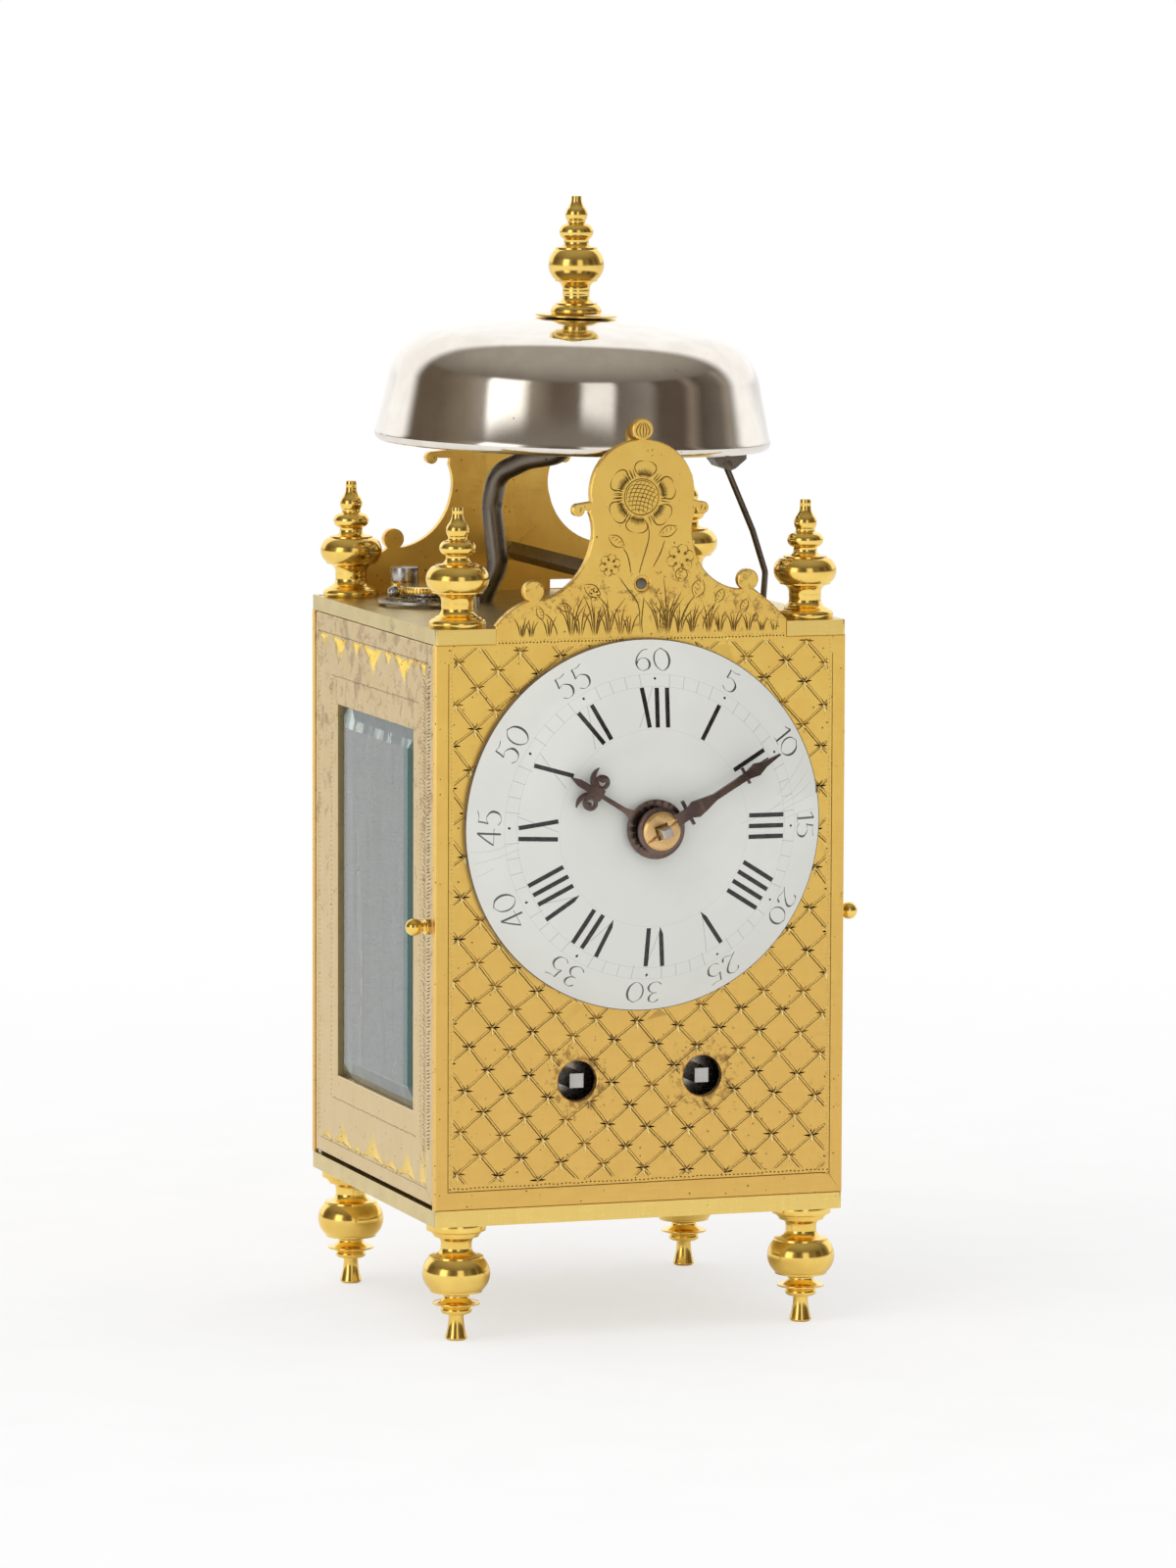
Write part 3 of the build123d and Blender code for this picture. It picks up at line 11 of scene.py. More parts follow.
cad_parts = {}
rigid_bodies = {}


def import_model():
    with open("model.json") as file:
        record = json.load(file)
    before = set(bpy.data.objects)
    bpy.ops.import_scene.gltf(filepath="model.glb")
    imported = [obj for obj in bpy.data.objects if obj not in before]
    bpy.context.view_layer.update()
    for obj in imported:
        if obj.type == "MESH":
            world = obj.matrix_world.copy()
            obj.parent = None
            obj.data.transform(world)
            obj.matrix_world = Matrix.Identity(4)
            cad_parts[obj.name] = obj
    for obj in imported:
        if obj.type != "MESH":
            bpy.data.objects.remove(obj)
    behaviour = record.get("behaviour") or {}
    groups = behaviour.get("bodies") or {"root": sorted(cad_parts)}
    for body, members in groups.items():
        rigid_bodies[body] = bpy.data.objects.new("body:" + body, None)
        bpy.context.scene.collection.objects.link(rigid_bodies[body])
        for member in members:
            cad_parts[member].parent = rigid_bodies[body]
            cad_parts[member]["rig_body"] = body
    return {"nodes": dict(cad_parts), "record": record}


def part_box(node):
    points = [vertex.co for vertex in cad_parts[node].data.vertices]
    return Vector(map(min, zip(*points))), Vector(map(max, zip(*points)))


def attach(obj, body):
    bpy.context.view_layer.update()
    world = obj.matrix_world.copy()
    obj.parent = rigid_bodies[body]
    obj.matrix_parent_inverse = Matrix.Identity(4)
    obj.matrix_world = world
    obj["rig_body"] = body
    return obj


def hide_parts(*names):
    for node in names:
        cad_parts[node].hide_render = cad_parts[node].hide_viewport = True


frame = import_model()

bl_info = {
    "name": "Small Lantern Clock",
    "version": (1, 0, 0),
    "blender": (4, 5, 0),
    "location": "3D View > Sidebar > Lantern Clock",
    "description": "Engraves and finishes the brass, enamel, steel and glass of a lantern clock",
    "category": "Object",
}

MM = 0.001
# angles in degrees: faces that count as one, edges that are rubbed, edges that stay sharp
FLAT_ANGLE, RUBBED_ANGLE, SHARP_ANGLE = 0.4, 28, 35
# points closer than this many millimetres are one
SAME_PLACE = 0.0005

# ---- Levels of the clock in millimetres, as its parts are drawn -----------------------------

CASE_LOW = 16.5
ROOF = 99.6
MIDDLE_SHIFT = 5.7
DIAL_RADIUS = 25.95
DIAL_Z = ROOF - 27.8
DIAL_DOME = 4.2
BELL_RADIUS = 27.9
BELL_DEPTH = 18.1
BELL_LIP = 23.0
BELL_TOP = ROOF + BELL_LIP + BELL_DEPTH
BELL_WALL = 1.25
BELL_HOLE = 1.35
BELL_TILT = math.radians(1.6)
CORNER_X = 25.5
CORNER_Y = 25.0
WINDING_X = 9.2
WINDING_Z = 36.2
WINDING_RING = 3.3
ARBOR_RADIUS = 1.45
FRONT_LEVEL = 23.6
DIAL_EDGE = -23.9
BELL_WASHER = 0.4

# ---- The camera -------------------------------------------------------------------------------

IMAGE_HEIGHT = 1600
FOCAL_PIXELS = 8788.2
CAMERA_AZIMUTH = math.radians(-18.630)
CAMERA_ELEVATION = math.radians(6.323)
CAMERA_ROLL = math.radians(0.204)
CAMERA_PLACE = (-0.38639, -1.14646, 0.20899)


def linear(red, green, blue):
    """A colour given as 0 to 255 screen values, as the linear values that shaders use."""
    part = np.array([red, green, blue]) / 255
    low = part / 12.92
    high = ((part + 0.055) / 1.055) ** 2.4
    return tuple(float(v) for v in np.where(part <= 0.04045, low, high))


def colour_property(name, description, *screen):
    """A colour that a user may change, its default given as screen values."""
    return FloatVectorProperty(
        name=name, description=description, default=linear(*screen), subtype="COLOR", min=0, max=1
    )


# ---- What a user may change -------------------------------------------------------------------


class LanternClockSizes(bpy.types.PropertyGroup):
    """Sizes of the engraving and of the softened edges."""

    groove: FloatProperty(
        name="Groove", description="Width of the lattice's lines, as a share of what they are on the clock",
        default=1.0, min=0.5, max=2,
    )
    groove_steepness: FloatProperty(
        name="Groove steepness", description="Depth of a groove as a share of its half width",
        default=1.1, min=0.1, max=2,
    )
    softness: FloatProperty(
        name="Edge softness", description="How far the edges of plates are rubbed off",
        default=0.13 * MM, unit="LENGTH", min=0.02 * MM, max=0.5 * MM,
    )
    turned_segments: IntProperty(
        name="Turned segments", description="Facets around a turned piece", default=128, min=32, max=256,
    )
    bell_segments: IntProperty(
        name="Bell segments", description="Facets around the bell", default=320, min=64, max=512,
    )


class LanternClockColours(bpy.types.PropertyGroup):
    """Colours of the finishes."""

    gilt: colour_property("Gilt", "Gilding on the engraved front", 255, 216, 114)
    plate: colour_property("Plates", "Paler brass of the top and base plates", 226, 206, 148)
    door: colour_property("Doors", "Brass of the side doors", 224, 200, 150)
    turned: colour_property("Turned brass", "Polished brass of feet and finials", 255, 220, 122)
    rose: colour_property("Rose brass", "Redder brass of the hands' nut", 236, 196, 136)
    works: colour_property("Works", "Brass of the wheels and inner plates", 214, 176, 104)
    stain: colour_property("Stain", "Brown stains on the brass", 118, 84, 62)
    enamel: colour_property("Enamel", "White of the dial", 225, 226, 220)
    ink: colour_property("Ink", "Black of the painted figures", 34, 30, 28)
    bell: colour_property("Bell metal", "Polished bell", 238, 232, 223)
    steel: colour_property("Steel", "Forged steel of the stand and hammer", 124, 115, 104)
    blued: colour_property("Blued steel", "Heat-coloured steel of the hands", 124, 106, 96)
    bright: colour_property("Bright steel", "Bare ends of the arbors", 196, 192, 188)
    glass_edge: colour_property("Glass edge", "Green of the bevelled glass edge", 78, 172, 154)


class LanternClockStage(bpy.types.PropertyGroup):
    """The floor and the light."""

    daylight: FloatProperty(
        name="Room light", description="Strength of the even light", default=0.86, min=0, max=4,
    )
    lamp: FloatProperty(
        name="Lamp", description="Power of the soft lamp", default=6.0, min=0, max=100, unit="POWER",
    )
    shadow: FloatProperty(
        name="Shadow", description="Share of the shadow that the floor shows", default=0.42,
        min=0, max=1, subtype="FACTOR",
    )


# ---- Meshes from arrays -----------------------------------------------------------------------


def merged(points, triangles):
    """Joins points that share a place, and drops triangles that then have no area."""
    keys = np.round(points / SAME_PLACE).astype(np.int64)
    _, first, back = np.unique(keys, axis=0, return_index=True, return_inverse=True)
    triangles = back.reshape(-1)[triangles]
    a, b, c = triangles.T
    return points[first], triangles[(a != b) & (b != c) & (c != a)]


def node_shape(node):
    """A CAD node's shape in millimetres, merged: its points and its triangles."""
    mesh = frame["nodes"][node].data
    mesh.calc_loop_triangles()
    points = np.empty(len(mesh.vertices) * 3, np.float32)
    mesh.vertices.foreach_get("co", points)
    triangles = np.empty(len(mesh.loop_triangles) * 3, np.int32)
    mesh.loop_triangles.foreach_get("vertices", triangles)
    return merged(points.reshape(-1, 3).astype(float) / MM, triangles.reshape(-1, 3))


def slot_of(node):
    """The material slot that the record gives a node."""
    return next(s["material_slot"] for s in frame["record"]["subparts"] if s["node"] == node)


def add_piece(name, mesh, nodes):
    """Puts a finished mesh on the body of the nodes that it stands for."""
    piece = bpy.data.objects.new(name, mesh)
    bpy.context.scene.collection.objects.link(piece)
    mesh.materials.append(finish(nodes[0]))
    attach(piece, frame["nodes"][nodes[0]]["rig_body"])
    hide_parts(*nodes)
    return piece


def mesh_from(name, points, triangles, smooth=None, face_marks=None, point_marks=None):
    """A mesh from points in millimetres. smooth is the angle past which an edge stays sharp."""
    mesh = bpy.data.meshes.new(name)
    mesh.vertices.add(len(points))
    mesh.vertices.foreach_set("co", (points * MM).astype(np.float32).ravel())
    mesh.loops.add(triangles.size)
    mesh.loops.foreach_set("vertex_index", triangles.astype(np.int32).ravel())
    mesh.polygons.add(len(triangles))
    mesh.polygons.foreach_set("loop_start", np.arange(0, triangles.size, 3, dtype=np.int32))
    mesh.update(calc_edges=True)
    mesh.polygons.foreach_set("use_smooth", np.full(len(triangles), smooth is not None))
    if smooth is not None:
        mesh.set_sharp_from_angle(angle=math.radians(smooth))
    for domain, marks in (("FACE", face_marks), ("POINT", point_marks)):
        for title, values in (marks or {}).items():
            marked = mesh.attributes.new(title, "FLOAT", domain)
            marked.data.foreach_set("value", values.astype(np.float32))
    return mesh


def grid_triangles(rows, columns):
    """The triangles between neighbouring points of closed rings that follow one another."""
    i = np.arange(rows - 1)[:, None]
    j = np.arange(columns)[None, :]
    a, b = i * columns + j, (i + 1) * columns + j
    right = (j + 1) % columns
    c, d = (i + 1) * columns + right, i * columns + right
    halves = [np.stack(corners, -1).reshape(-1, 3) for corners in ([a, b, c], [a, c, d])]
    return np.concatenate(halves)


def profile_points(start, steps, spacing=0.12):
    """A profile of radius and height: each step is a line to a point, or an arc through one
    point to another. Arcs are circles through three points, sampled at even angles."""
    here = np.array(start, float)
    path = [here[None, :]]
    for step in steps:
        end = np.array(step[-2:], float)
        if len(step) == 4:
            path.append(arc_through(here, np.array(step[:2], float), end, spacing)[1:])
        else:
            path.append(end[None, :])
        here = end
    return np.concatenate(path)


def arc_through(start, middle, end, spacing):
    """Points on the circle through three points: the centre is as far from each, and the
    angle runs evenly from the first to the last on the side of the middle one."""
    rows = np.array([middle - start, end - start])
    sides = 0.5 * (rows**2).sum(axis=1)
    if abs(np.linalg.det(rows)) < 1e-9:
        return np.array([start, end])
    centre = start + np.linalg.solve(rows, sides)
    angles = [math.atan2(*(p - centre)[::-1]) for p in (start, middle, end)]
    sweep = (angles[2] - angles[0]) % (2 * math.pi)
    if (angles[1] - angles[0]) % (2 * math.pi) > sweep:
        sweep -= 2 * math.pi
    radius = np.linalg.norm(start - centre)
    count = max(4, int(abs(sweep) * radius / spacing) + 2)
    turn = angles[0] + np.linspace(0, sweep, count)
    return centre + radius * np.stack([np.cos(turn), np.sin(turn)], -1)


def eased_corners(profile, amount=0.05):
    """Cuts each corner of a profile that turns by more than 20 degrees with a short flat,
    as polishing does: a point is put before and after it, a small distance away."""
    before, here, after = profile[:-2], profile[1:-1], profile[2:]
    into, out = here - before, after - here
    length_in, length_out = np.linalg.norm(into, axis=1), np.linalg.norm(out, axis=1)
    cosine = (into * out).sum(axis=1) / (length_in * length_out)
    sharp = cosine < math.cos(math.radians(20))
    first = here - into * (np.minimum(amount, 0.4 * length_in) / length_in)[:, None]
    second = here + out * (np.minimum(amount, 0.4 * length_out) / length_out)[:, None]
    middle = np.where(sharp[:, None], (first + second + 2 * here) / 4, here)
    doubled = np.stack([np.where(sharp[:, None], first, here), middle, second], 1)
    keep = np.stack([np.ones_like(sharp), sharp, sharp], 1)
    return np.concatenate([profile[:1], doubled[keep], profile[-1:]])


def lathe(profile, segments):
    """A surface of revolution about the z axis: each profile point (r, z) becomes the ring
    (r cos a, r sin a, z). A profile that climbs with the outside on its right points outwards."""
    angle = np.linspace(0, 2 * math.pi, segments, endpoint=False)
    radius, height = profile.T
    points = np.stack(
        [radius[:, None] * np.cos(angle), radius[:, None] * np.sin(angle),
         np.repeat(height[:, None], segments, axis=1)], -1,
    ).reshape(-1, 3)
    triangles = grid_triangles(len(profile), segments)[:, ::-1]
    return merged(points, triangles)


def outward(points, triangles):
    """The triangles of a closed shape, turned round if they enclose a negative volume."""
    a, b, c = points[triangles].transpose(1, 0, 2)
    return triangles if (a * np.cross(b, c)).sum() > 0 else triangles[:, ::-1]


def softened(name, node, width):
    """A copy of a CAD node, merged, its flat faces made whole and its sharp edges rubbed
    to a narrow round, so that they catch the light."""
    points, triangles = node_shape(node)
    mesh = mesh_from(name, points, triangles)
    body = bmesh.new()
    body.from_mesh(mesh)
    flat = math.radians(FLAT_ANGLE)
    bmesh.ops.dissolve_limit(body, angle_limit=flat, verts=body.verts, edges=body.edges)
    edges = [
        e for e in body.edges
        if len(e.link_faces) == 2 and e.calc_face_angle(0) > math.radians(RUBBED_ANGLE)
    ]
    bmesh.ops.bevel(
        body, geom=edges, offset=width * MM, offset_type="OFFSET", segments=2, profile=0.6,
        affect="EDGES", clamp_overlap=True,
    )
    bmesh.ops.triangulate(body, faces=body.faces)
    body.to_mesh(mesh)
    body.free()
    mesh.polygons.foreach_set("use_smooth", np.full(len(mesh.polygons), True))
    mesh.set_sharp_from_angle(angle=math.radians(SHARP_ANGLE))
    piece = add_piece(name, mesh, (node,))
    weighted = piece.modifiers.new("weighted", "WEIGHTED_NORMAL")
    weighted.keep_sharp = True
    weighted.weight = 60
    return piece


# ---- Engraving --------------------------------------------------------------------------------

SIDES = {
    "front": (np.array([1.0, 0, 0]), np.array([0, -1.0, 0])),
    "left": (np.array([0, -1.0, 0]), np.array([-1.0, 0, 0])),
    "right": (np.array([0, 1.0, 0]), np.array([1.0, 0, 0])),
    "back": (np.array([-1.0, 0, 0]), np.array([0, 1.0, 0])),
}
STROKE_SAMPLES = 25
TILE = 3.0
SHORTEST_SHARE = 0.12
DOMED_REACH = 6.0
FLAT_FACING, DOMED_FACING = 0.9, 0.25
RIM_SHARE = 1.15
RIM_GAP = 0.2


class Cuts:
    """A collection of tapering strokes on a flat sheet: for each, a centre line with a half
    width at every point, and a tone that says how dark or bright the stroke is."""

    def __init__(self):
        self.lines = []

    def add(self, lines, half, tone):
        """lines is an array of strokes by points by (u, v), and half gives half widths."""
        lines = np.asarray(lines, float)
        if lines.ndim == 2:
            lines = lines[None]
        half = np.broadcast_to(half, lines.shape[:2]).astype(float)
        if len(lines):
            self.lines.append((lines, half, float(tone)))

    def kept_where(self, room, margin):
        """The strokes cut back to where room, a distance inside the sheet, exceeds a margin.
        A stroke of which only a short share is left is dropped."""
        kept = Cuts()
        share = np.linspace(0, 1, STROKE_SAMPLES)
        for lines, half, tone in self.lines:
            count = lines.shape[1]
            inside = room(resampled(lines, np.tile(share, (len(lines), 1))).reshape(-1, 2)) > margin
            inside = inside.reshape(len(lines), -1)
            whole = inside.all(axis=1)
            some = inside.any(axis=1) & ~whole
            if whole.any():
                kept.add(lines[whole], half[whole], tone)
            if some.any():
                first = share[inside[some].argmax(axis=1)]
                last = share[::-1][inside[some][:, ::-1].argmax(axis=1)]
                long = last - first > SHORTEST_SHARE
                steps = first[long, None] + (last - first)[long, None] * np.linspace(0, 1, count)
                kept.add(resampled(lines[some][long], steps), half[some][long], tone)
        return kept

    def outlines(self):
        """Points and edges of every stroke: its left side, centre and right side, and its ends."""
        points, edges, total = [], [], 0
        for lines, half, _ in self.lines:
            along = np.gradient(lines, axis=1)
            along /= np.maximum(np.linalg.norm(along, axis=2, keepdims=True), 1e-12)
            aside = np.stack([-along[..., 1], along[..., 0]], -1) * half[..., None]
            three = np.stack([lines + aside, lines, lines - aside], 1)
            number = total + np.arange(three.size // 2).reshape(three.shape[:3])
            runs = np.stack([number[..., :-1], number[..., 1:]], -1).reshape(-1, 2)
            caps = np.stack([number[:, :-1, [0, -1]], number[:, 1:, [0, -1]]], -1).reshape(-1, 2)
            points.append(three.reshape(-1, 2))
            edges += [runs, caps]
            total += three.size // 2
        points, edges = np.concatenate(points), np.concatenate(edges)
        length = np.linalg.norm(points[edges[:, 0]] - points[edges[:, 1]], axis=1)
        return points, edges[length > 2e-4]

    def segments(self):
        """Every stroke as short straight stretches: both ends, both half widths, the tone, and
        whether it is the stroke's first or last stretch."""
        parts = []
        for lines, half, tone in self.lines:
            place = np.tile(np.arange(lines.shape[1] - 1), len(lines))[:, None]
            parts.append(np.concatenate([
                lines[:, :-1].reshape(-1, 2), lines[:, 1:].reshape(-1, 2),
                half[:, :-1].reshape(-1, 1), half[:, 1:].reshape(-1, 1),
                np.full((len(place), 1), tone), place == 0, place == lines.shape[1] - 2,
            ], axis=1))
        return np.concatenate(parts)


def resampled(lines, shares):
    """Each stroke's points at the given shares of its length in points."""
    last = lines.shape[1] - 1
    place = np.clip(shares * last, 0, last - 1e-9)
    low = place.astype(int)
    part = (place - low)[..., None]
    row = np.arange(len(lines))[:, None]
    return lines[row, low] * (1 - part) + lines[row, low + 1] * part


def stroke_cover(places, segments):
    """How deep each place lies inside the strokes, and the tone there. The depth is the half
    width of the nearest stretch less the distance to it, and nought outside every stroke."""
    depth, tone = np.zeros(len(places)), np.zeros(len(places))
    start, end, half = segments[:, :2], segments[:, 2:4], segments[:, 4:6]
    shade, is_first, is_last = segments[:, 6], segments[:, 7] > 0, segments[:, 8] > 0
    reach = half.max(axis=1, keepdims=True)
    low, high = np.minimum(start, end) - reach, np.maximum(start, end) + reach
    tiles = np.floor(places / TILE).astype(int)
    for tile in np.unique(tiles, axis=0):
        mine = np.flatnonzero((tiles == tile).all(axis=1))
        near = ((low <= (tile + 1) * TILE) & (high >= tile * TILE)).all(axis=1)
        if not near.any():
            continue
        from_start = places[mine][:, None] - start[near]
        run = end[near] - start[near]
        place = (from_start * run).sum(-1) / np.maximum((run**2).sum(-1), 1e-12)
        share = np.clip(place, 0, 1)
        gap = np.linalg.norm(from_start - share[..., None] * run, axis=-1)
        inside = half[near, 0] + share * (half[near, 1] - half[near, 0]) - gap
        past_start = (place < -1e-6) & is_first[near]
        past_end = (place > 1 + 1e-6) & is_last[near]
        inside = np.where(past_start | past_end, -1.0, inside)
        best = inside.argmax(axis=1)
        depth[mine] = np.maximum(inside.max(axis=1), 0)
        tone[mine] = shade[near][best] * (depth[mine] > 1e-4)
    return depth, tone


def sheet_room(places, starts, ends):
    """How far inside a sheet each place lies, below nought outside: the distance to the
    nearest edge of its outline, with the sign from counting the edges a ray crosses."""
    room = np.empty(len(places))
    run = ends - starts
    for part in np.array_split(np.arange(len(places)), max(1, len(places) // 3000)):
        u, v = places[part][:, None, 0], places[part][:, None, 1]
        du, dv = u - starts[:, 0], v - starts[:, 1]
        share = np.clip((du * run[:, 0] + dv * run[:, 1]) / (run**2).sum(axis=1), 0, 1)
        gap = np.hypot(du - share * run[:, 0], dv - share * run[:, 1]).min(axis=1)
        spans = (starts[:, 1] > v) != (ends[:, 1] > v)
        rise = np.where(run[:, 1] == 0, 1e-12, run[:, 1])
        crosses = spans & (u < starts[:, 0] + dv * run[:, 0] / rise)
        room[part] = np.where(crosses.sum(axis=1) % 2 == 1, gap, -gap)
    return room


def boundary_loops(triangles):
    """The edges round a set of triangles, in order, with the triangles on their left."""
    start, end = triangles.ravel(), triangles[:, [1, 2, 0]].ravel()
    size = int(triangles.max()) + 1
    open_edge = ~np.isin(end * size + start, start * size + end)
    following = dict(zip(start[open_edge].tolist(), end[open_edge].tolist()))
    loops = []
    while following:
        first, here = following.popitem()
        loop = [first]
        while here != first:
            loop.append(here)
            here = following.pop(here)
        loops.append(np.array(loop))
    return loops


def recut(node, side, cuts, softness, steepness, flat=True, extra=None, limit=None, lift=None):
    """Cuts strokes into one face of a CAD node. The face is found as the node's outermost
    plane, or as all that faces outwards where it is domed. Its outline, an inner line next
    to it and the strokes are joined into triangles, and each point sinks by its depth in a
    stroke, so that a stroke is a V. The outline sinks by the softness, which rubs the edge.
    Returns points, triangles, the tone of each triangle and which triangles are new."""
    across, out = SIDES[side]
    up = np.array([0, 0, 1.0])
    points, triangles = node_shape(node)
    level = points @ out
    corners = points[triangles]
    facing = np.cross(corners[:, 1] - corners[:, 0], corners[:, 2] - corners[:, 0])
    facing = facing @ out / np.maximum(np.linalg.norm(facing, axis=1), 1e-12)
    if flat:
        chosen = (level[triangles] > level.max() - 0.01).all(axis=1) & (facing > FLAT_FACING)
    else:
        chosen = (facing > DOMED_FACING) & (level[triangles] > level.max() - DOMED_REACH).all(axis=1)
    loops = boundary_loops(triangles[chosen])
    places = np.stack([points @ across, points @ up], -1)
    rim = np.concatenate(loops)
    rim_places = places[rim]
    offsets = np.cumsum([0] + [len(loop) for loop in loops[:-1]])
    follows = np.concatenate([
        np.roll(np.arange(len(loop)), -1) + offset for loop, offset in zip(loops, offsets)
    ])
    starts, ends = rim_places, rim_places[follows]
    inner = inset(rim_places, follows, softness * RIM_SHARE)

    def room(spots):
        """How far inside the sheet's outline and its other limit points lie."""
        distance = sheet_room(spots, starts, ends)
        return distance if limit is None else np.minimum(distance, limit(spots))

    kept = cuts.kept_where(room, softness * RIM_SHARE + RIM_GAP)
    stroke_points, stroke_edges = kept.outlines()
    count = len(rim)
    rings = np.stack([np.arange(count), follows], -1)
    everything = np.concatenate([rim_places, inner, stroke_points] + ([extra] if extra is not None else []))
    edges = np.concatenate([rings, rings + count, stroke_edges + 2 * count])
    flat_points, _, faces, sources, _, _ = delaunay_2d_cdt(
        [Vector(p) for p in everything], edges.tolist(), [], 0, 2e-5, True
    )
    spots = np.array([tuple(p) for p in flat_points])
    cells = np.array(faces, int).reshape(-1, 3)
    first, second, third = spots[cells].transpose(1, 0, 2)
    area = np.cross(second - first, third - first)
    cells[area < 0] = cells[area < 0][:, ::-1]
    cells = cells[np.abs(area) > 1e-9]
    middles = spots[cells].mean(axis=1)
    cells = cells[sheet_room(middles, starts, ends) > 0]
    segments = kept.segments()
    depth, _ = stroke_cover(spots, segments)
    _, tone = stroke_cover(spots[cells].mean(axis=1), segments)

    source = np.array([next((s for s in given if s < count), -1) for given in sources])
    number = np.where(source >= 0, rim[source], len(points) + np.arange(len(spots)))
    face_level = level.max() if lift is None else lift(spots)
    sunk = np.reshape(face_level - steepness * depth, (-1, 1))
    new = spots[:, :1] * across + spots[:, 1:] * up + sunk * out
    if flat:
        points[rim] -= softness * out
    points = np.concatenate([points, new])
    triangles = np.concatenate([triangles[~chosen], number[cells]])
    is_new = np.arange(len(triangles)) >= (~chosen).sum()
    tones = np.concatenate([np.zeros((~chosen).sum()), tone])
    used, packed = np.unique(triangles, return_inverse=True)
    return points[used], packed.reshape(-1, 3), tones, is_new


def inset(places, follows, distance):
    """The outline's points moved inwards: each along the mean of the inward normals of the
    two edges that meet there, and further where they meet at a sharp angle."""
    run = places[follows] - places
    run /= np.maximum(np.linalg.norm(run, axis=1, keepdims=True), 1e-9)
    normal = np.stack([-run[:, 1], run[:, 0]], -1)
    before = np.empty_like(normal)
    before[follows] = normal
    mean = normal + before
    mean /= np.maximum((mean * normal).sum(axis=1, keepdims=True), 0.5)
    return places + distance * mean


def pointed(count, sharpness=0.6):
    """Half widths along a stroke that swells in the middle and comes to a point at each end."""
    return np.sin(np.linspace(0, math.pi, count)) ** sharpness * np.r_[0, np.ones(count - 2), 0]


def spline(points, count):
    """A smooth line through a few points: a Catmull-Rom curve, in which each stretch is a
    cubic that leaves a point in the direction from the one before it to the one after."""
    points = np.asarray(points, float)
    ends = np.concatenate([2 * points[:1] - points[1:2], points, 2 * points[-1:] - points[-2:-1]])
    place = np.linspace(0, len(points) - 1 - 1e-9, count)
    k = place.astype(int)
    t = (place - k)[:, None]
    a, b, c, d = ends[k], ends[k + 1], ends[k + 2], ends[k + 3]
    square, cube = 2 * a - 5 * b + 4 * c - d, 3 * b - a - 3 * c + d
    return 0.5 * (2 * b + (c - a) * t + square * t**2 + cube * t**3)


def beads(start, end, pitch, half, cuts, tone, wander):
    """A row of small punched dots between two points, that sways a little aside."""
    start, end = np.array(start, float), np.array(end, float)
    count = max(2, int(np.linalg.norm(end - start) / pitch))
    along = (end - start) / np.linalg.norm(end - start)
    aside = np.array([-along[1], along[0]])
    sway = wander * np.sin(np.arange(count) * 0.7 + 3 * np.sin(np.arange(count) * 0.23))
    share = (np.arange(count) + 0.5) / count
    middle = start + (end - start) * share[:, None] + sway[:, None] * aside
    step = np.array([-0.32, 0, 0.32]) * pitch
    lines = middle[:, None] + step[None, :, None] * along
    cuts.add(lines, [0, half, 0], tone)


def straight(start, end, half, cuts, count, tone):
    """One straight stroke of even width."""
    share = np.linspace(0, 1, count)[:, None]
    cuts.add(np.array(start) * (1 - share) + np.array(end) * share, half, tone)


# ---- The lattice, the crest's flowers and the border of the front --------------------------

# the lattice's start, its rising and falling steps, and their bends by i*i, i*j and j*j
LATTICE = np.array([
    (-16.36, CASE_LOW + 20.98), (3.288, 2.516), (2.7255, -3.316),
    (-0.0033, 0.0022), (0.0084, 0.0111), (0.0012, 0.0069),
])
# a star's rays, each with its turn in degrees, reach, half width and tone; a bright tone is a painted
# highlight
STAR_RAYS = (
    (-90, 1.3, 0.18, 2.0), (2, 1.2, 0.14, -1.2), (178, 1.2, 0.14, -1.2), (60, 1.0, 0.09, -1.0),
    (120, 1.0, 0.09, -1.0), (90, 0.55, 0.08, -0.6), (-36, 0.85, 0.08, -0.9), (-144, 0.85, 0.08, -0.9),
)
STAR_STRENGTHS = (0.55, 1.0, 1.25)
# the grooves side by side in a line, each with its offset, half width and tone; a bright tone is a painted
# highlight, a dark one dirt with painted shade
FALLING_LINES = ((-0.17, 0.075, -0.95), (-0.01, 0.07, 1.5), (0.16, 0.045, -0.7))
RISING_LINES = ((-0.14, 0.06, -0.85), (0.13, 0.035, -0.4))
BEADS_A_SIDE = 9
LATTICE_REACH = 24
LATTICE_MARGIN = 4
BORDER_X = 28.1
BORDER_LOW = CASE_LOW + 4.9
BORDER_HIGH = ROOF - 2.0


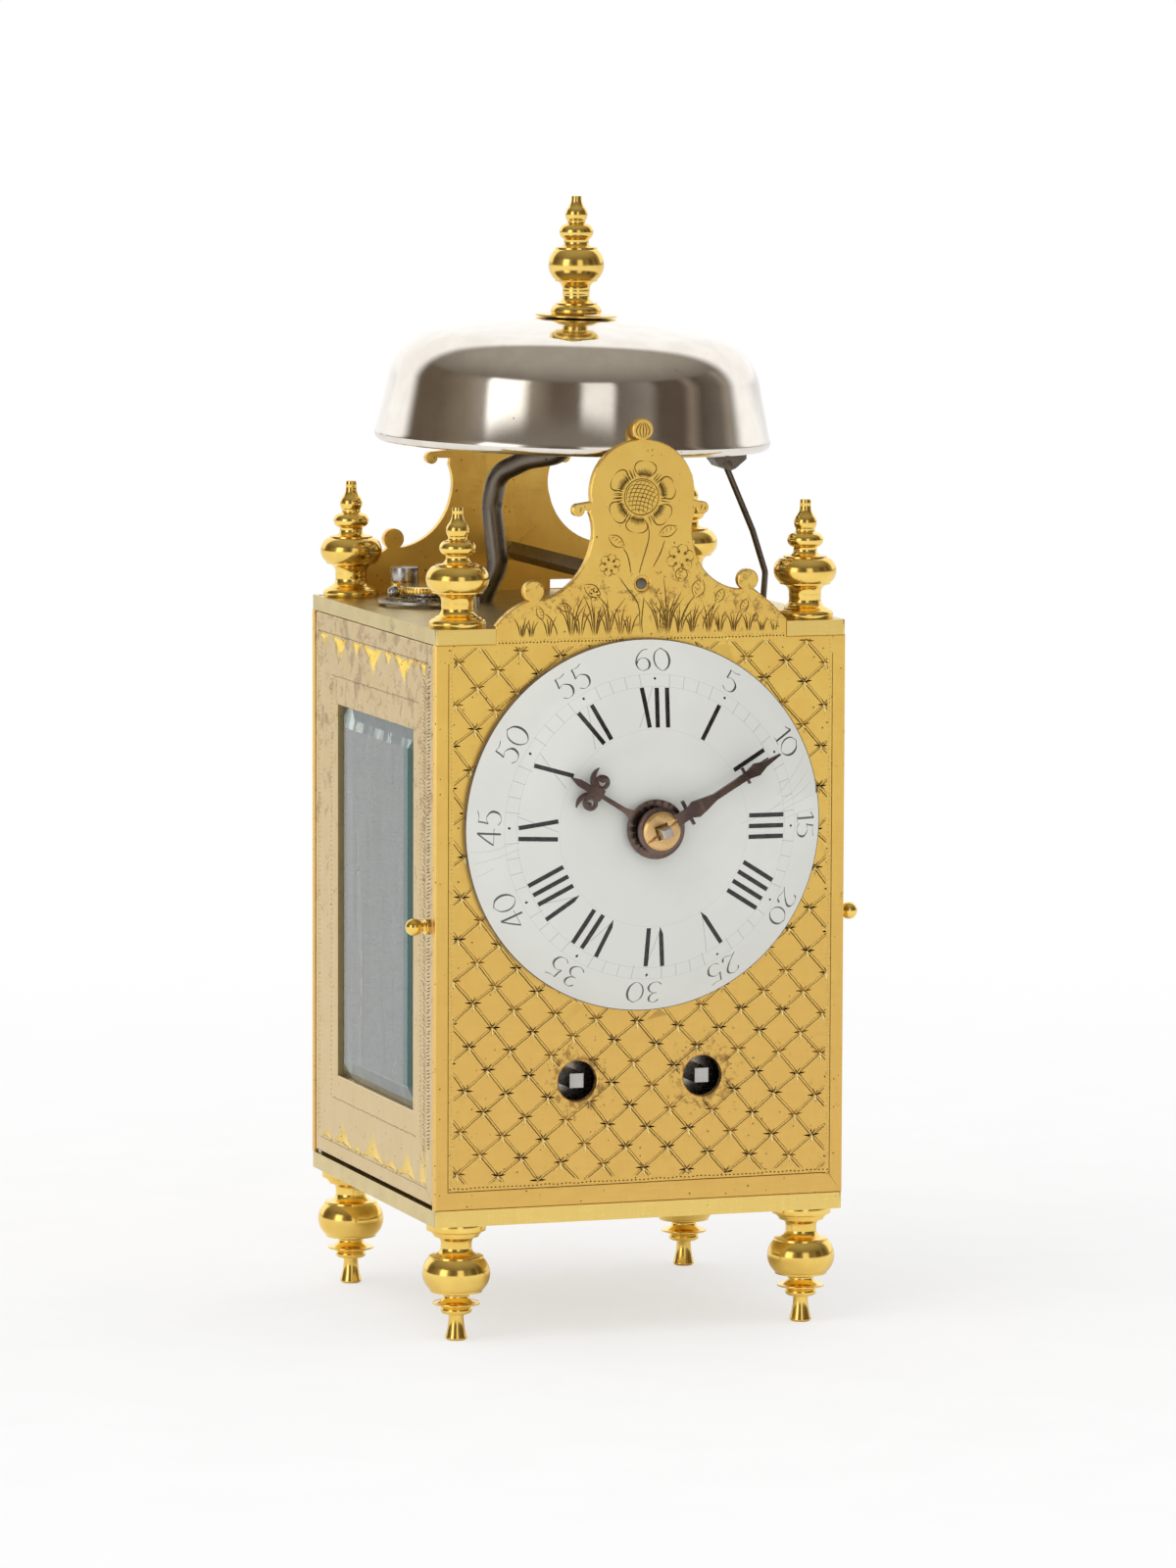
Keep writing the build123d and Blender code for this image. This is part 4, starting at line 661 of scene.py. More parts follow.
def lattice_cuts(width):
    """Leaning squares as a hand lays them out: places are whole numbers of a rising and a
    falling step, bent a little by the squares and product of the two numbers. Falling lines
    are a bright ridge between two dark grooves, rising ones a row of bright beads, and each
    place has a star of dark leaves with one bright ray that points down. The bright ones are
    painted highlights; the dark ones are dirt in the grooves, with painted shade beside the
    highlights."""
    numbers = np.arange(-LATTICE_REACH, LATTICE_REACH + 1)
    i, j = np.meshgrid(numbers, numbers, indexing="ij")
    i, j = i.ravel(), j.ravel()
    rng = np.random.default_rng(4)
    nodes = np.stack([np.ones_like(i), i, j, i * i, i * j, j * j], -1) @ LATTICE
    nodes = nodes + rng.normal(0, 0.09, nodes.shape)
    index = {(int(a), int(b)): k for k, (a, b) in enumerate(zip(i, j))}
    inside = np.abs(nodes[:, 0]) < BORDER_X + LATTICE_MARGIN
    inside &= nodes[:, 1] > BORDER_LOW - LATTICE_MARGIN
    inside &= nodes[:, 1] < BORDER_HIGH + LATTICE_MARGIN
    cuts = Cuts()
    count = 9
    for step, rows in (((1, 0), RISING_LINES), ((0, 1), FALLING_LINES)):
        pairs = [(k, index.get((a + step[0], b + step[1]))) for (a, b), k in index.items() if inside[k]]
        pairs = np.array([p for p in pairs if p[1] is not None])
        start, end = nodes[pairs[:, 0], None], nodes[pairs[:, 1], None]
        share = np.linspace(0.02, 0.98, count)[None, :, None]
        along = (end - start) / np.linalg.norm(end - start, axis=2, keepdims=True)
        aside = np.stack([-along[..., 1], along[..., 0]], -1)
        middle = start + share * (end - start)
        for offset, half, tone in rows:
            sway = rng.normal(0, 0.012, (len(pairs), count, 1))
            widths = half * width * rng.uniform(0.8, 1.15, (len(pairs), 1))
            widths = widths * np.r_[0, np.ones(count - 2), 0]
            cuts.add(middle + (offset * width + sway) * aside, widths, tone)
        if rows is RISING_LINES:
            share = (np.arange(BEADS_A_SIDE) + 0.5)[None, :, None] / BEADS_A_SIDE
            places = start + share * (end - start)
            dash = np.array([-0.14, 0, 0.14])[None, :, None]
            way = np.repeat(along[:, 0], BEADS_A_SIDE, axis=0)[:, None]
            lines = places.reshape(-1, 1, 2) + dash * way
            # painted highlights on the beads
            cuts.add(lines, np.array([0, 0.095, 0]) * width, 1.9)
    stars = nodes[inside]
    depth = rng.choice(STAR_STRENGTHS, len(stars))
    for turn, reach, half, tone in STAR_RAYS:
        way = math.radians(turn) + rng.normal(0, 0.09, len(stars))
        length = reach * rng.uniform(0.85, 1.12, len(stars))
        share = np.array([0.0, 0.3, 0.65, 1.0])
        ray = np.stack([np.cos(way), np.sin(way)], -1)
        lines = stars[:, None] + share[None, :, None] * (length[:, None] * ray)[:, None]
        for strength in STAR_STRENGTHS:
            mine = depth == strength
            cuts.add(lines[mine], half * np.array([0, 1, 0.8, 0]), tone * (strength if tone < 0 else 1))
    return cuts


def border_cuts():
    """A plain line and rows of punched dots round the lattice; the rows with a bright tone carry a painted
    highlight.
    """
    cuts = Cuts()
    for x in (-BORDER_X, BORDER_X):
        straight((x, BORDER_LOW), (x, BORDER_HIGH + 0.5), 0.07, cuts, 40, -0.7)
        beads((x * 0.985, BORDER_LOW), (x * 0.985, BORDER_HIGH), 0.55, 0.17, cuts, 2.0, 0.05)
    straight((-BORDER_X, BORDER_LOW), (BORDER_X, BORDER_LOW + 0.3), 0.07, cuts, 40, -0.7)
    beads((-BORDER_X, BORDER_LOW + 0.45), (BORDER_X, BORDER_LOW + 0.75), 0.6, 0.12, cuts, -0.9, 0.06)
    for direction in (-1, 1):
        outer, inner = 28.6 * direction, 2.5 * direction
        for rise, pitch, half, tone in ((0, 0.5, 0.13, -0.9), (0.28, 0.7, 0.11, 1.8)):
            level = BORDER_HIGH + rise
            beads((outer, level), (inner, level), pitch, half, cuts, tone, 0.05)
    return cuts


def crest_spot(points):
    """Places on the crest, given as x and height above the roof."""
    return np.asarray(points, float) + np.array([0, ROOF])


def petal(cuts, root, turn, reach, half_width, inner, hatch, line):
    """A petal outline that leaves its root, swells and rounds over at its tip, with fine
    lines inside it that fan out from the root."""
    way = np.array([math.cos(turn), math.sin(turn)])
    side = np.array([-way[1], way[0]])
    root = np.asarray(root, float)
    share = np.linspace(0, 1, 12)
    for sign in (-1, 1):
        swell = half_width * np.sin(math.pi * np.clip(share * 0.93 + 0.02, 0, 1)) ** 0.7 * sign
        swell = np.where(share > 0.99, 0, swell)
        reached = inner + (reach - inner) * (1 - (1 - share) ** 1.25)
        outline = root + np.outer(reached, way) + np.outer(swell, side)
        cuts.add(outline, line * pointed(12, 0.35), -0.8)
    for part in np.linspace(-0.7, 0.7, hatch):
        near = root + (inner + 0.12) * way + part * half_width * 0.55 * side
        far = root + (inner + (reach - inner) * (0.62 - 0.2 * abs(part))) * way + part * half_width * side
        cuts.add(spline([near, far], 4), 0.075 * np.array([0, 1, 0.7, 0]), -1.2)


def bud(cuts, place, turn, length, width):
    """A small leaf or bud: two bowed lines that meet in points, with short hatching."""
    way = np.array([math.cos(turn), math.sin(turn)])
    side = np.array([-way[1], way[0]])
    middle = np.asarray(place, float)
    share = np.linspace(-0.5, 0.5, 8)
    bow = np.cos(share * math.pi)
    for sign in (-1, 1):
        line = middle + np.outer(share * length, way) + np.outer(sign * width / 2 * bow, side)
        cuts.add(line, 0.075 * pointed(8, 0.4), -0.8)
    for part in np.linspace(-0.3, 0.3, 4):
        near = middle + part * length * way - 0.1 * width * side
        far = middle + (part + 0.12) * length * way + 0.4 * width * side * math.cos(part * math.pi)
        cuts.add(spline([near, far], 4), 0.05 * np.array([0, 1, 0.8, 0]), -0.9)


# places on the crest are given as x and height above the roof
SUNFLOWER = (-0.17, 17.76)
PETAL_TURNS = (82, 17, -39, -100, -149, 144)
RAY_TURNS = (112, 50, 128, -8, -66, 178, 186, 168, -125, 44, 120)
STEMS = (
    ((0.69, 14.4), (0.95, 12.3), (0.45, 10.3), (-0.3, 7.9), (-0.45, 7.1)),
    ((-2.9, 10.8), (-2.2, 9.7), (-1.85, 8.3), (-1.7, 7.2)),
    ((-3.6, 7.0), (-2.3, 5.2), (-1.0, 3.6), (-0.45, 2.1), (-0.3, -1.3)),
    ((0.3, 4.6), (0.1, 2.6), (-0.1, 0.4), (0.05, -1.3)),
    ((7.85, 4.1), (6.6, 2.5), (5.8, 0.9), (5.3, -0.9)),
    ((10.8, 2.9), (9.8, 1.5), (9.1, 0.4), (8.85, -0.9)),
    ((14.7, 1.4), (14.3, 0.5), (13.3, -0.8)),
    ((-6.4, 4.1), (-5.3, 2.8), (-4.8, 1.0), (-4.75, -0.9)),
    ((-10.6, 2.2), (-9.8, 1.0), (-9.5, -1.1)),
    ((-14.3, 2.0), (-13.4, 1.2), (-12.6, -0.3), (-12.4, -1.2)),
    ((3.3, 11.8), (2.6, 9.9), (1.5, 7.9)),
)
# each bud has its place, turn in degrees, length and width
BUDS = (
    (-3.8, 11.7, -35, 2.5, 1.15), (3.75, 12.95, 22, 2.6, 1.2), (-7.3, 4.9, -35, 2.6, 1.3),
    (-11.3, 2.7, -20, 1.9, 0.9), (-14.9, 2.0, -70, 1.9, 0.8), (8.2, 4.9, 70, 2.5, 1.5),
    (11.4, 3.8, 62, 2.0, 0.95), (15.0, 2.3, 68, 1.9, 0.9), (5.7, 6.9, 85, 1.9, 1.4),
    (16.6, 0.6, 75, 1.2, 0.6),
)
# each blossom has its place and size
BLOSSOMS = ((-4.75, 8.4, 1.55), (5.56, 9.1, 2.0), (-7.0, 4.4, 0.9))
# each tuft of grass has its x, height and count of blades
GRASS = (
    (-17.5, 1.6, 5), (-16.2, 1.5, 4), (-13.6, 1.9, 4), (-10.3, 3.6, 6), (-9.0, 2.4, 4), (-6.9, 3.3, 7),
    (-5.0, 3.0, 5), (-3.2, 2.2, 4), (-1.9, 2.0, 4), (2.6, 3.0, 5), (3.7, 4.4, 8), (5.4, 2.6, 6),
    (7.3, 2.2, 6), (9.7, 2.4, 5), (11.4, 1.9, 5), (13.4, 1.7, 6), (15.6, 1.5, 4), (17.6, 1.1, 4),
    (19.4, 0.8, 3),
)
GRASS_FOOT = -1.35


def crest_cuts():
    """A sunflower with its stem and leaves, small flowers and buds, and tufts of grass."""
    cuts = Cuts()
    rng = np.random.default_rng(11)
    heart = crest_spot([SUNFLOWER])[0]
    ring = np.linspace(0, 2 * math.pi, 41)
    cuts.add(heart + 2.5 * np.stack([np.cos(ring), np.sin(ring)], -1), 0.075, -0.8)
    for shift in np.linspace(-2.0, 2.0, 8):
        reach = math.sqrt(2.4**2 - shift**2)
        share = np.linspace(-1, 1, 9)
        bow = 0.45 * (1 - share**2)
        for turn in (-0.18, 1.22):
            way = np.array([math.cos(turn), math.sin(turn)])
            side = np.array([-way[1], way[0]])
            line = heart + np.outer(share * reach, way) + np.outer(shift + bow - 0.2, side)
            cuts.add(line, 0.06 * pointed(9, 0.3), -0.85)
    for turn in PETAL_TURNS:
        petal(cuts, heart, math.radians(turn), 5.05, 1.6, 2.6, 11, 0.09)
    for turn in RAY_TURNS:
        for lean in (-0.06, 0.05):
            way = math.radians(turn) + lean
            reach = np.linspace(2.7, 4.1 + 4 * abs(lean), 5)
            line = heart + np.outer(reach, [math.cos(way), math.sin(way)])
            cuts.add(line, 0.08 * np.array([0, 1, 0.8, 0.5, 0]), -1.0)
    for stem in STEMS:
        cuts.add(spline(crest_spot(stem), 12), 0.085 * pointed(12, 0.3), -1.0)
    for x, height, turn, length, width in BUDS:
        bud(cuts, crest_spot((x, height)), math.radians(turn), 1.2 * length, 1.25 * width)
    for x, height, size in BLOSSOMS:
        place = crest_spot((x, height))
        for turn in np.arange(6) * 60 + 15:
            petal(cuts, place, math.radians(float(turn)), size, size * 0.36, size * 0.28, 2, 0.06)
    for x, height, blades in GRASS:
        for lean in np.linspace(-0.42, 0.42, blades) + rng.normal(0, 0.05, blades):
            tall = 1.85 * height * rng.uniform(0.6, 1.05)
            foot = crest_spot((x + 0.55 * lean, GRASS_FOOT))
            tip = crest_spot((x + lean * tall * 1.15, GRASS_FOOT + tall))
            bend = (foot + tip) / 2 + np.array([-0.18 * lean * tall, 0.08 * tall])
            cuts.add(spline([foot, bend, tip], 6), 0.1 * np.array([0, 0.8, 1, 0.8, 0.5, 0]), -0.95)
    ball = crest_spot((0, 27.1))
    for spread in (-0.95, -0.45, 0.05, 0.5, 0.95):
        line = ball + np.array([(spread * 0.35, -1.25), (spread * 1.05, -0.2), (spread * 0.3, 1.05)])
        cuts.add(spline(line, 8), 0.08 * pointed(8, 0.4), -0.9)
    for x in (-9.2, -8.6, 8.4, 9.0):
        hook = crest_spot([(x, 15.7), (x + 0.25, 16.4), (x - 0.1, 17.0)])
        cuts.add(spline(hook, 5), 0.07 * pointed(5), -0.9)
    return cuts


def near_dial(spots):
    """The distance outside the dial's edge."""
    return np.hypot(spots[:, 0], spots[:, 1] - DIAL_Z) - DIAL_RADIUS + 0.3


def inside_border(spots):
    """The distance inside the engraved border of the lattice, and outside the dial and the
    plain ring round each winding hole."""
    sides = BORDER_X - 0.62 - np.abs(spots[:, 0])
    ends = np.minimum(spots[:, 1] - BORDER_LOW - 1.0, BORDER_HIGH - 0.5 - spots[:, 1])
    holes = np.hypot(np.abs(spots[:, 0]) - WINDING_X, spots[:, 1] - WINDING_Z) - WINDING_RING
    return np.minimum.reduce([sides, ends, near_dial(spots), holes])


# ---- The doors' ornament, as y towards the back and height above the case --------------------

# each tooth has the depths of its back, front and tip, and the tip's height
TOP_DAGGERS = (
    (19.34, 12.48, 15.45, 74.34), (9.81, 5.38, 7.74, 75.92), (5.09, -4.24, -0.48, 74.08),
    (-5.40, -9.14, -7.42, 76.11), (-9.72, -18.84, -14.88, 74.07), (-19.12, -21.09, -20.1, 76.6),
    (-21.94, -25.03, -24.36, 75.9), (25.2, 21.4, 23.4, 75.9),
)
LOW_DAGGERS = (
    (18.49, 9.86, 14.16, 8.76), (9.3, 5.4, 7.48, 6.62), (4.64, -5.22, -0.30, 9.72),
    (-5.68, -12.2, -8.93, 7.21), (-12.62, -20.40, -16.74, 9.75), (-22.0, -25.6, -23.4, 10.9),
    (24.0, 19.4, 21.8, 7.0),
)
DOOR_HEIGHT = 80
DAGGER_TOP = 78.0
DAGGER_LOW = 5.3
DOOR_HATCHING = ((-23.2, -25.4, -0.7), (-25.2, -27.3, 0.5))
DOOR_SCROLLS = (((-23.1, 11.24), (-25.4, 6.0)), ((-22.2, 9.6), (-24.6, 5.9)), ((-24.6, 12.6), (-25.9, 7.5)))


def door_spot(direction, depth, height):
    """A place on a door's face from depth and height. direction is 1 on the left door."""
    across = -direction * (np.asarray(depth) + MIDDLE_SHIFT)
    return np.stack(np.broadcast_arrays(across, np.asarray(height) + CASE_LOW), -1)


def dagger(cuts, direction, back, front, tip, tip_height, base, tone):
    """A pointed tooth with a painted highlight: short strokes of a bright tone side by side from its base
    towards its tip.
    """
    count = max(3, int(abs(back - front) / 0.42))
    share = (np.arange(count) + 0.5) / count
    depth = back + (front - back) * share
    middle_share = (tip - back) / (front - back)
    fall = np.where(share < middle_share, share / middle_share, (1 - share) / (1 - middle_share))
    end_height = base + (tip_height - base) * np.clip(fall * 1.05, 0.12, 1)
    end_depth = depth + (tip - depth) * 0.35 * fall
    steps = np.array([0, 0.12, 0.55, 1.0])[None]
    lines = door_spot(direction, depth[:, None] + (end_depth - depth)[:, None] * steps,
                      base + (end_height - base)[:, None] * steps)
    cuts.add(lines, np.array([0, 0.21, 0.19, 0]), tone)


def door_cuts(direction):
    """A door's ornament: teeth along its top and bottom, lines, rows of dots and hatching. The teeth, the
    upright rows of dots and the scrolls have a bright tone, a painted highlight.
    """
    cuts = Cuts()
    for daggers, base, tone in ((TOP_DAGGERS, DAGGER_TOP, 2.0), (LOW_DAGGERS, DAGGER_LOW, 1.1)):
        for back, front, tip, height in daggers:
            dagger(cuts, direction, back, front, tip, height, base, tone)

    def spot(depth, height):
        """A place on this door's face."""
        return door_spot(direction, depth, height)

    straight(spot(26.5, DAGGER_TOP + 0.25), spot(-25.6, DAGGER_TOP + 0.25), 0.07, cuts, 30, -0.6)
    straight(spot(25.4, DAGGER_LOW - 0.3), spot(-25.6, DAGGER_LOW - 0.3), 0.07, cuts, 30, -0.6)
    beads(spot(19.8, 72.4), spot(-21.6, 72.4), 0.6, 0.13, cuts, -0.9, 0.04)
    beads(spot(19.2, 11.6), spot(-20.6, 11.6), 0.6, 0.13, cuts, -0.9, 0.04)
    for depth, low, high in ((25.7, 6, 77), (19.9, 11.6, 72.2), (-22.3, 11.6, 72.2)):
        beads(spot(depth, low), spot(depth, high), 0.7, 0.24, cuts, 2.0, 0.05)
    straight(spot(26.4, 5), spot(26.4, 78), 0.06, cuts, 30, -0.7)
    straight(spot(-22.9, 11), spot(-22.9, 72.5), 0.06, cuts, 30, -0.7)
    rng = np.random.default_rng(7)
    height = np.arange(10.5, 77.6, 0.5)
    for first, last, lean in DOOR_HATCHING:
        shake = rng.normal(0, 0.15, (len(height), 1))
        depth = np.array([first, (first + last) / 2, last])[None, :] + shake
        shake = rng.normal(0, 0.08, (len(height), 3))
        levels = height[:, None] + lean * np.array([0, 0.35, 1.0])[None] + shake
        cuts.add(door_spot(direction, depth, levels), np.array([0, 0.11, 0]), -0.9)
    for start, end in DOOR_SCROLLS:
        line = np.array([start, ((start[0] + end[0]) / 2 - 0.5, (start[1] + end[1]) / 2), end])
        curve = spline(line, 7)
        cuts.add(door_spot(direction, curve[:, 0], curve[:, 1]), 0.13 * pointed(7), 1.2)
    return cuts


# ---- The painted dial --------------------------------------------------------------------------

NUMERALS = ("I", "II", "III", "IIII", "V", "VI", "VII", "VIII", "IX", "X", "XI", "XII")
NUMERAL_STARTS = (-0.25, -1.12, -1.63, -2.45, -1.15, -2.12, -2.35, -3.5, -1.45, -1.15, -1.68, -2.0)
NUMERAL_INNER = 13.95
NUMERAL_OUTER = 19.4
NUMERAL_BAR = 0.31
NUMERAL_STEP = 1.5
HAIR_BEND = 16.6
HAIR_HALF = 0.045
INNER_CIRCLE = 13.75
FIGURE_RADIUS = 23.2
FIGURE_HEIGHT = 3.0
MINUTE_CIRCLES = (19.6, 21.25)
DOT_RADIUS = 20.65
DOT_SIZE = 0.18
MARKS_TURN = 1.4
MARKS_MIDDLE = (0.22, DIAL_Z)
# each figure's strokes, as points across and up in a box one high
DIGITS = {
    "0": (
        ((0.3, 1.0), (0.08, 0.82), (0.0, 0.5), (0.08, 0.18), (0.3, 0.0), (0.52, 0.18), (0.6, 0.5),
         (0.52, 0.82), (0.3, 1.0)),
    ),
    "1": (
        ((0.02, 0.8), (0.14, 0.9), (0.24, 1.0)), ((0.24, 1.0), (0.24, 0.5), (0.24, 0.0)),
        ((0.08, 0.01), (0.4, 0.01)),
    ),
    "2": (
        ((0.04, 0.78), (0.1, 0.94), (0.28, 1.0), (0.46, 0.9), (0.5, 0.7), (0.38, 0.45), (0.16, 0.18),
         (0.0, 0.02)),
        ((0.0, 0.02), (0.14, 0.1), (0.34, 0.02), (0.5, 0.02), (0.58, 0.2)),
    ),
    "3": (
        ((0.06, 0.86), (0.2, 1.0), (0.4, 0.94), (0.44, 0.74), (0.32, 0.57), (0.16, 0.53)),
        ((0.16, 0.53), (0.4, 0.5), (0.53, 0.28), (0.42, 0.06), (0.2, 0.0), (0.03, 0.12)),
    ),
    "4": (
        ((0.42, 1.0), (0.2, 0.66), (0.0, 0.3)), ((0.0, 0.3), (0.3, 0.3), (0.62, 0.3)),
        ((0.42, 1.0), (0.42, 0.5), (0.42, 0.0)),
    ),
    "5": (
        ((0.54, 1.0), (0.34, 0.94), (0.14, 0.97)), ((0.14, 0.97), (0.12, 0.76), (0.08, 0.55)),
        ((0.08, 0.55), (0.28, 0.63), (0.48, 0.48), (0.52, 0.28), (0.42, 0.06), (0.2, 0.0), (0.03, 0.13)),
    ),
    "6": (
        ((0.5, 0.96), (0.28, 0.88), (0.08, 0.62), (0.01, 0.32), (0.1, 0.08), (0.28, 0.0)),
        ((0.28, 0.0), (0.46, 0.1), (0.53, 0.3), (0.46, 0.5), (0.28, 0.57), (0.1, 0.46), (0.03, 0.28)),
    ),
}
# fine cracks in the enamel, each as turns in degrees and radii
CRACKS = (
    ((71, 25.8), (77, 21.5), (84, 16.0), (88, 12.5)), ((75, 25.8), (79, 22.0), (82, 17.5)),
    ((80, 25.8), (82, 21.0), (86, 16.5)), ((85, 25.8), (85.5, 22.0), (88, 18.0)),
    ((66, 25.7), (72, 21.8), (77, 18.6)),
    ((258, 25.8), (259.5, 22.0), (262, 18.8)), ((262, 25.8), (262, 23.0), (264, 20.0)),
    ((254, 25.6), (255, 24.0), (256, 23.0)),
)


def dial_spot(turn, radius, aside=0.0):
    """A place on the dial: a turn in degrees from the top, clockwise, a radius, and a
    distance aside in the direction that the hands move."""
    angle = np.radians(np.asarray(turn) + MARKS_TURN)
    along = np.stack([np.sin(angle), np.cos(angle)], -1)
    beside = np.stack([np.cos(angle), -np.sin(angle)], -1)
    spot = np.asarray(radius)[..., None] * along + np.asarray(aside)[..., None] * beside
    return spot + np.array(MARKS_MIDDLE)


def numeral_strokes(cuts, hour, text):
    """Bars for I, a slanted pointed bar and a hairline for V, and two crossed ones for X."""
    place = NUMERAL_STARTS[hour - 1]
    turn = np.full(2, 30.0 * hour)
    radii = np.array([NUMERAL_OUTER, NUMERAL_INNER])
    slant = 1.55 if text == "X" else 1.0
    for letter in text:
        if letter == "I":
            cuts.add(dial_spot(turn, radii, np.array([place, place])), NUMERAL_BAR, 1.0)
            place += NUMERAL_STEP
            continue
        lean = slant if letter == "X" else 0.8
        if letter == "X":
            cuts.add(dial_spot(turn, radii, np.array([place, place + lean])), NUMERAL_BAR, 1.0)
            hair = np.array([
                (NUMERAL_OUTER + 0.1, place + 0.9 + 0.65 * lean), (HAIR_BEND, place + 0.5),
                (NUMERAL_INNER, place - 0.48),
            ])
        else:
            bar = np.array([NUMERAL_OUTER, NUMERAL_INNER + 0.9, NUMERAL_INNER - 0.1])
            line = dial_spot(np.full(3, 30.0 * hour), bar, place + lean * np.array([0, 0.75, 1.0]))
            cuts.add(line, [NUMERAL_BAR, NUMERAL_BAR, 0.04], 1.0)
            hair = np.array([
                (NUMERAL_OUTER, place + 2.45), (HAIR_BEND, place + 1.55),
                (NUMERAL_INNER + 0.2, place + lean),
            ])
        curve = spline(hair, 6)
        cuts.add(dial_spot(np.full(6, 30.0 * hour), curve[:, 0], curve[:, 1]), HAIR_HALF, 0.42)
        place += 2.45 if letter == "V" else 2.18


def figure_strokes(cuts, minute):
    """Curving figures, thick where the pen moves up or down and thin where it moves across."""
    text = str(minute)
    advance = {"1": 0.5, "0": 0.97}
    widths = [advance.get(c, 0.9) * FIGURE_HEIGHT for c in text]
    left = -sum(widths) / 2 + 0.25
    for character, width in zip(text, widths):
        for stroke in DIGITS[character]:
            curve = spline(stroke, 5 * len(stroke)) if len(stroke) > 2 else spline(stroke, 2)
            size = curve * FIGURE_HEIGHT * np.array([1.26, 1.0])
            slope = np.gradient(size, axis=0)
            rise = np.abs(slope[:, 1]) / np.maximum(np.linalg.norm(slope, axis=1), 1e-9)
            half = 0.035 + 0.115 * rise**2.2
            if character in "0256":
                half = half * np.where(curve[:, 0] > 0.3, 1.1, 0.72)
            radius = FIGURE_RADIUS + size[:, 1] - FIGURE_HEIGHT / 2
            cuts.add(dial_spot(np.full(len(size), 6.0 * minute), radius, left + size[:, 0]), half, 0.9)
        left += width


def dial_cuts():
    """All that is painted on the dial: hours, minutes, circles and dots, and its cracks."""
    cuts = Cuts()
    for hour, text in enumerate(NUMERALS, start=1):
        numeral_strokes(cuts, hour, text)
    for minute in range(5, 65, 5):
        figure_strokes(cuts, minute)
    for radius, tone in ((MINUTE_CIRCLES[0], 0.2), (MINUTE_CIRCLES[1], 0.16), (INNER_CIRCLE, 0.12)):
        turn = np.linspace(0, 360, 181)
        cuts.add(dial_spot(turn, np.full(181, radius)), 0.035, tone)
    minutes = np.array([m for m in range(60) if m % 5])[:, None] * 6.0
    tall = np.where(np.isin((minutes / 6).astype(int) % 5, (1, 4)), 0.25, 0.0)
    radii = np.array([[MINUTE_CIRCLES[0] - 0.05, MINUTE_CIRCLES[1] + 0.02]])
    radii = radii - tall * np.array([[1, -0.2]])
    cuts.add(dial_spot(np.repeat(minutes, 2, axis=1), radii), 0.04, 0.42)
    fives = np.arange(12)[:, None] * 30.0
    dot_steps = np.linspace(-0.98, 0.98, 7)[None] * DOT_SIZE
    dot_half = np.sqrt(DOT_SIZE**2 - dot_steps[0]**2)
    cuts.add(dial_spot(np.repeat(fives, 7, axis=1), DOT_RADIUS + dot_steps), dot_half, 1.0)
    for crack in CRACKS:
        line = spline(crack, 14)
        line[1:-1, 0] += 0.25 * np.sin(np.arange(12) * 2.3)
        cuts.add(dial_spot(line[:, 0], line[:, 1]), 0.035 * pointed(14, 0.3), 0.3)
    return cuts


def dome_level(spots):
    """How far the dial stands out: it falls from its middle with the fourth power of radius."""
    radius = np.hypot(spots[:, 0], spots[:, 1] - DIAL_Z) / DIAL_RADIUS
    return FRONT_LEVEL + 0.8 + DIAL_DOME * (1 - radius**4)


# ---- Shader building ---------------------------------------------------------------------------


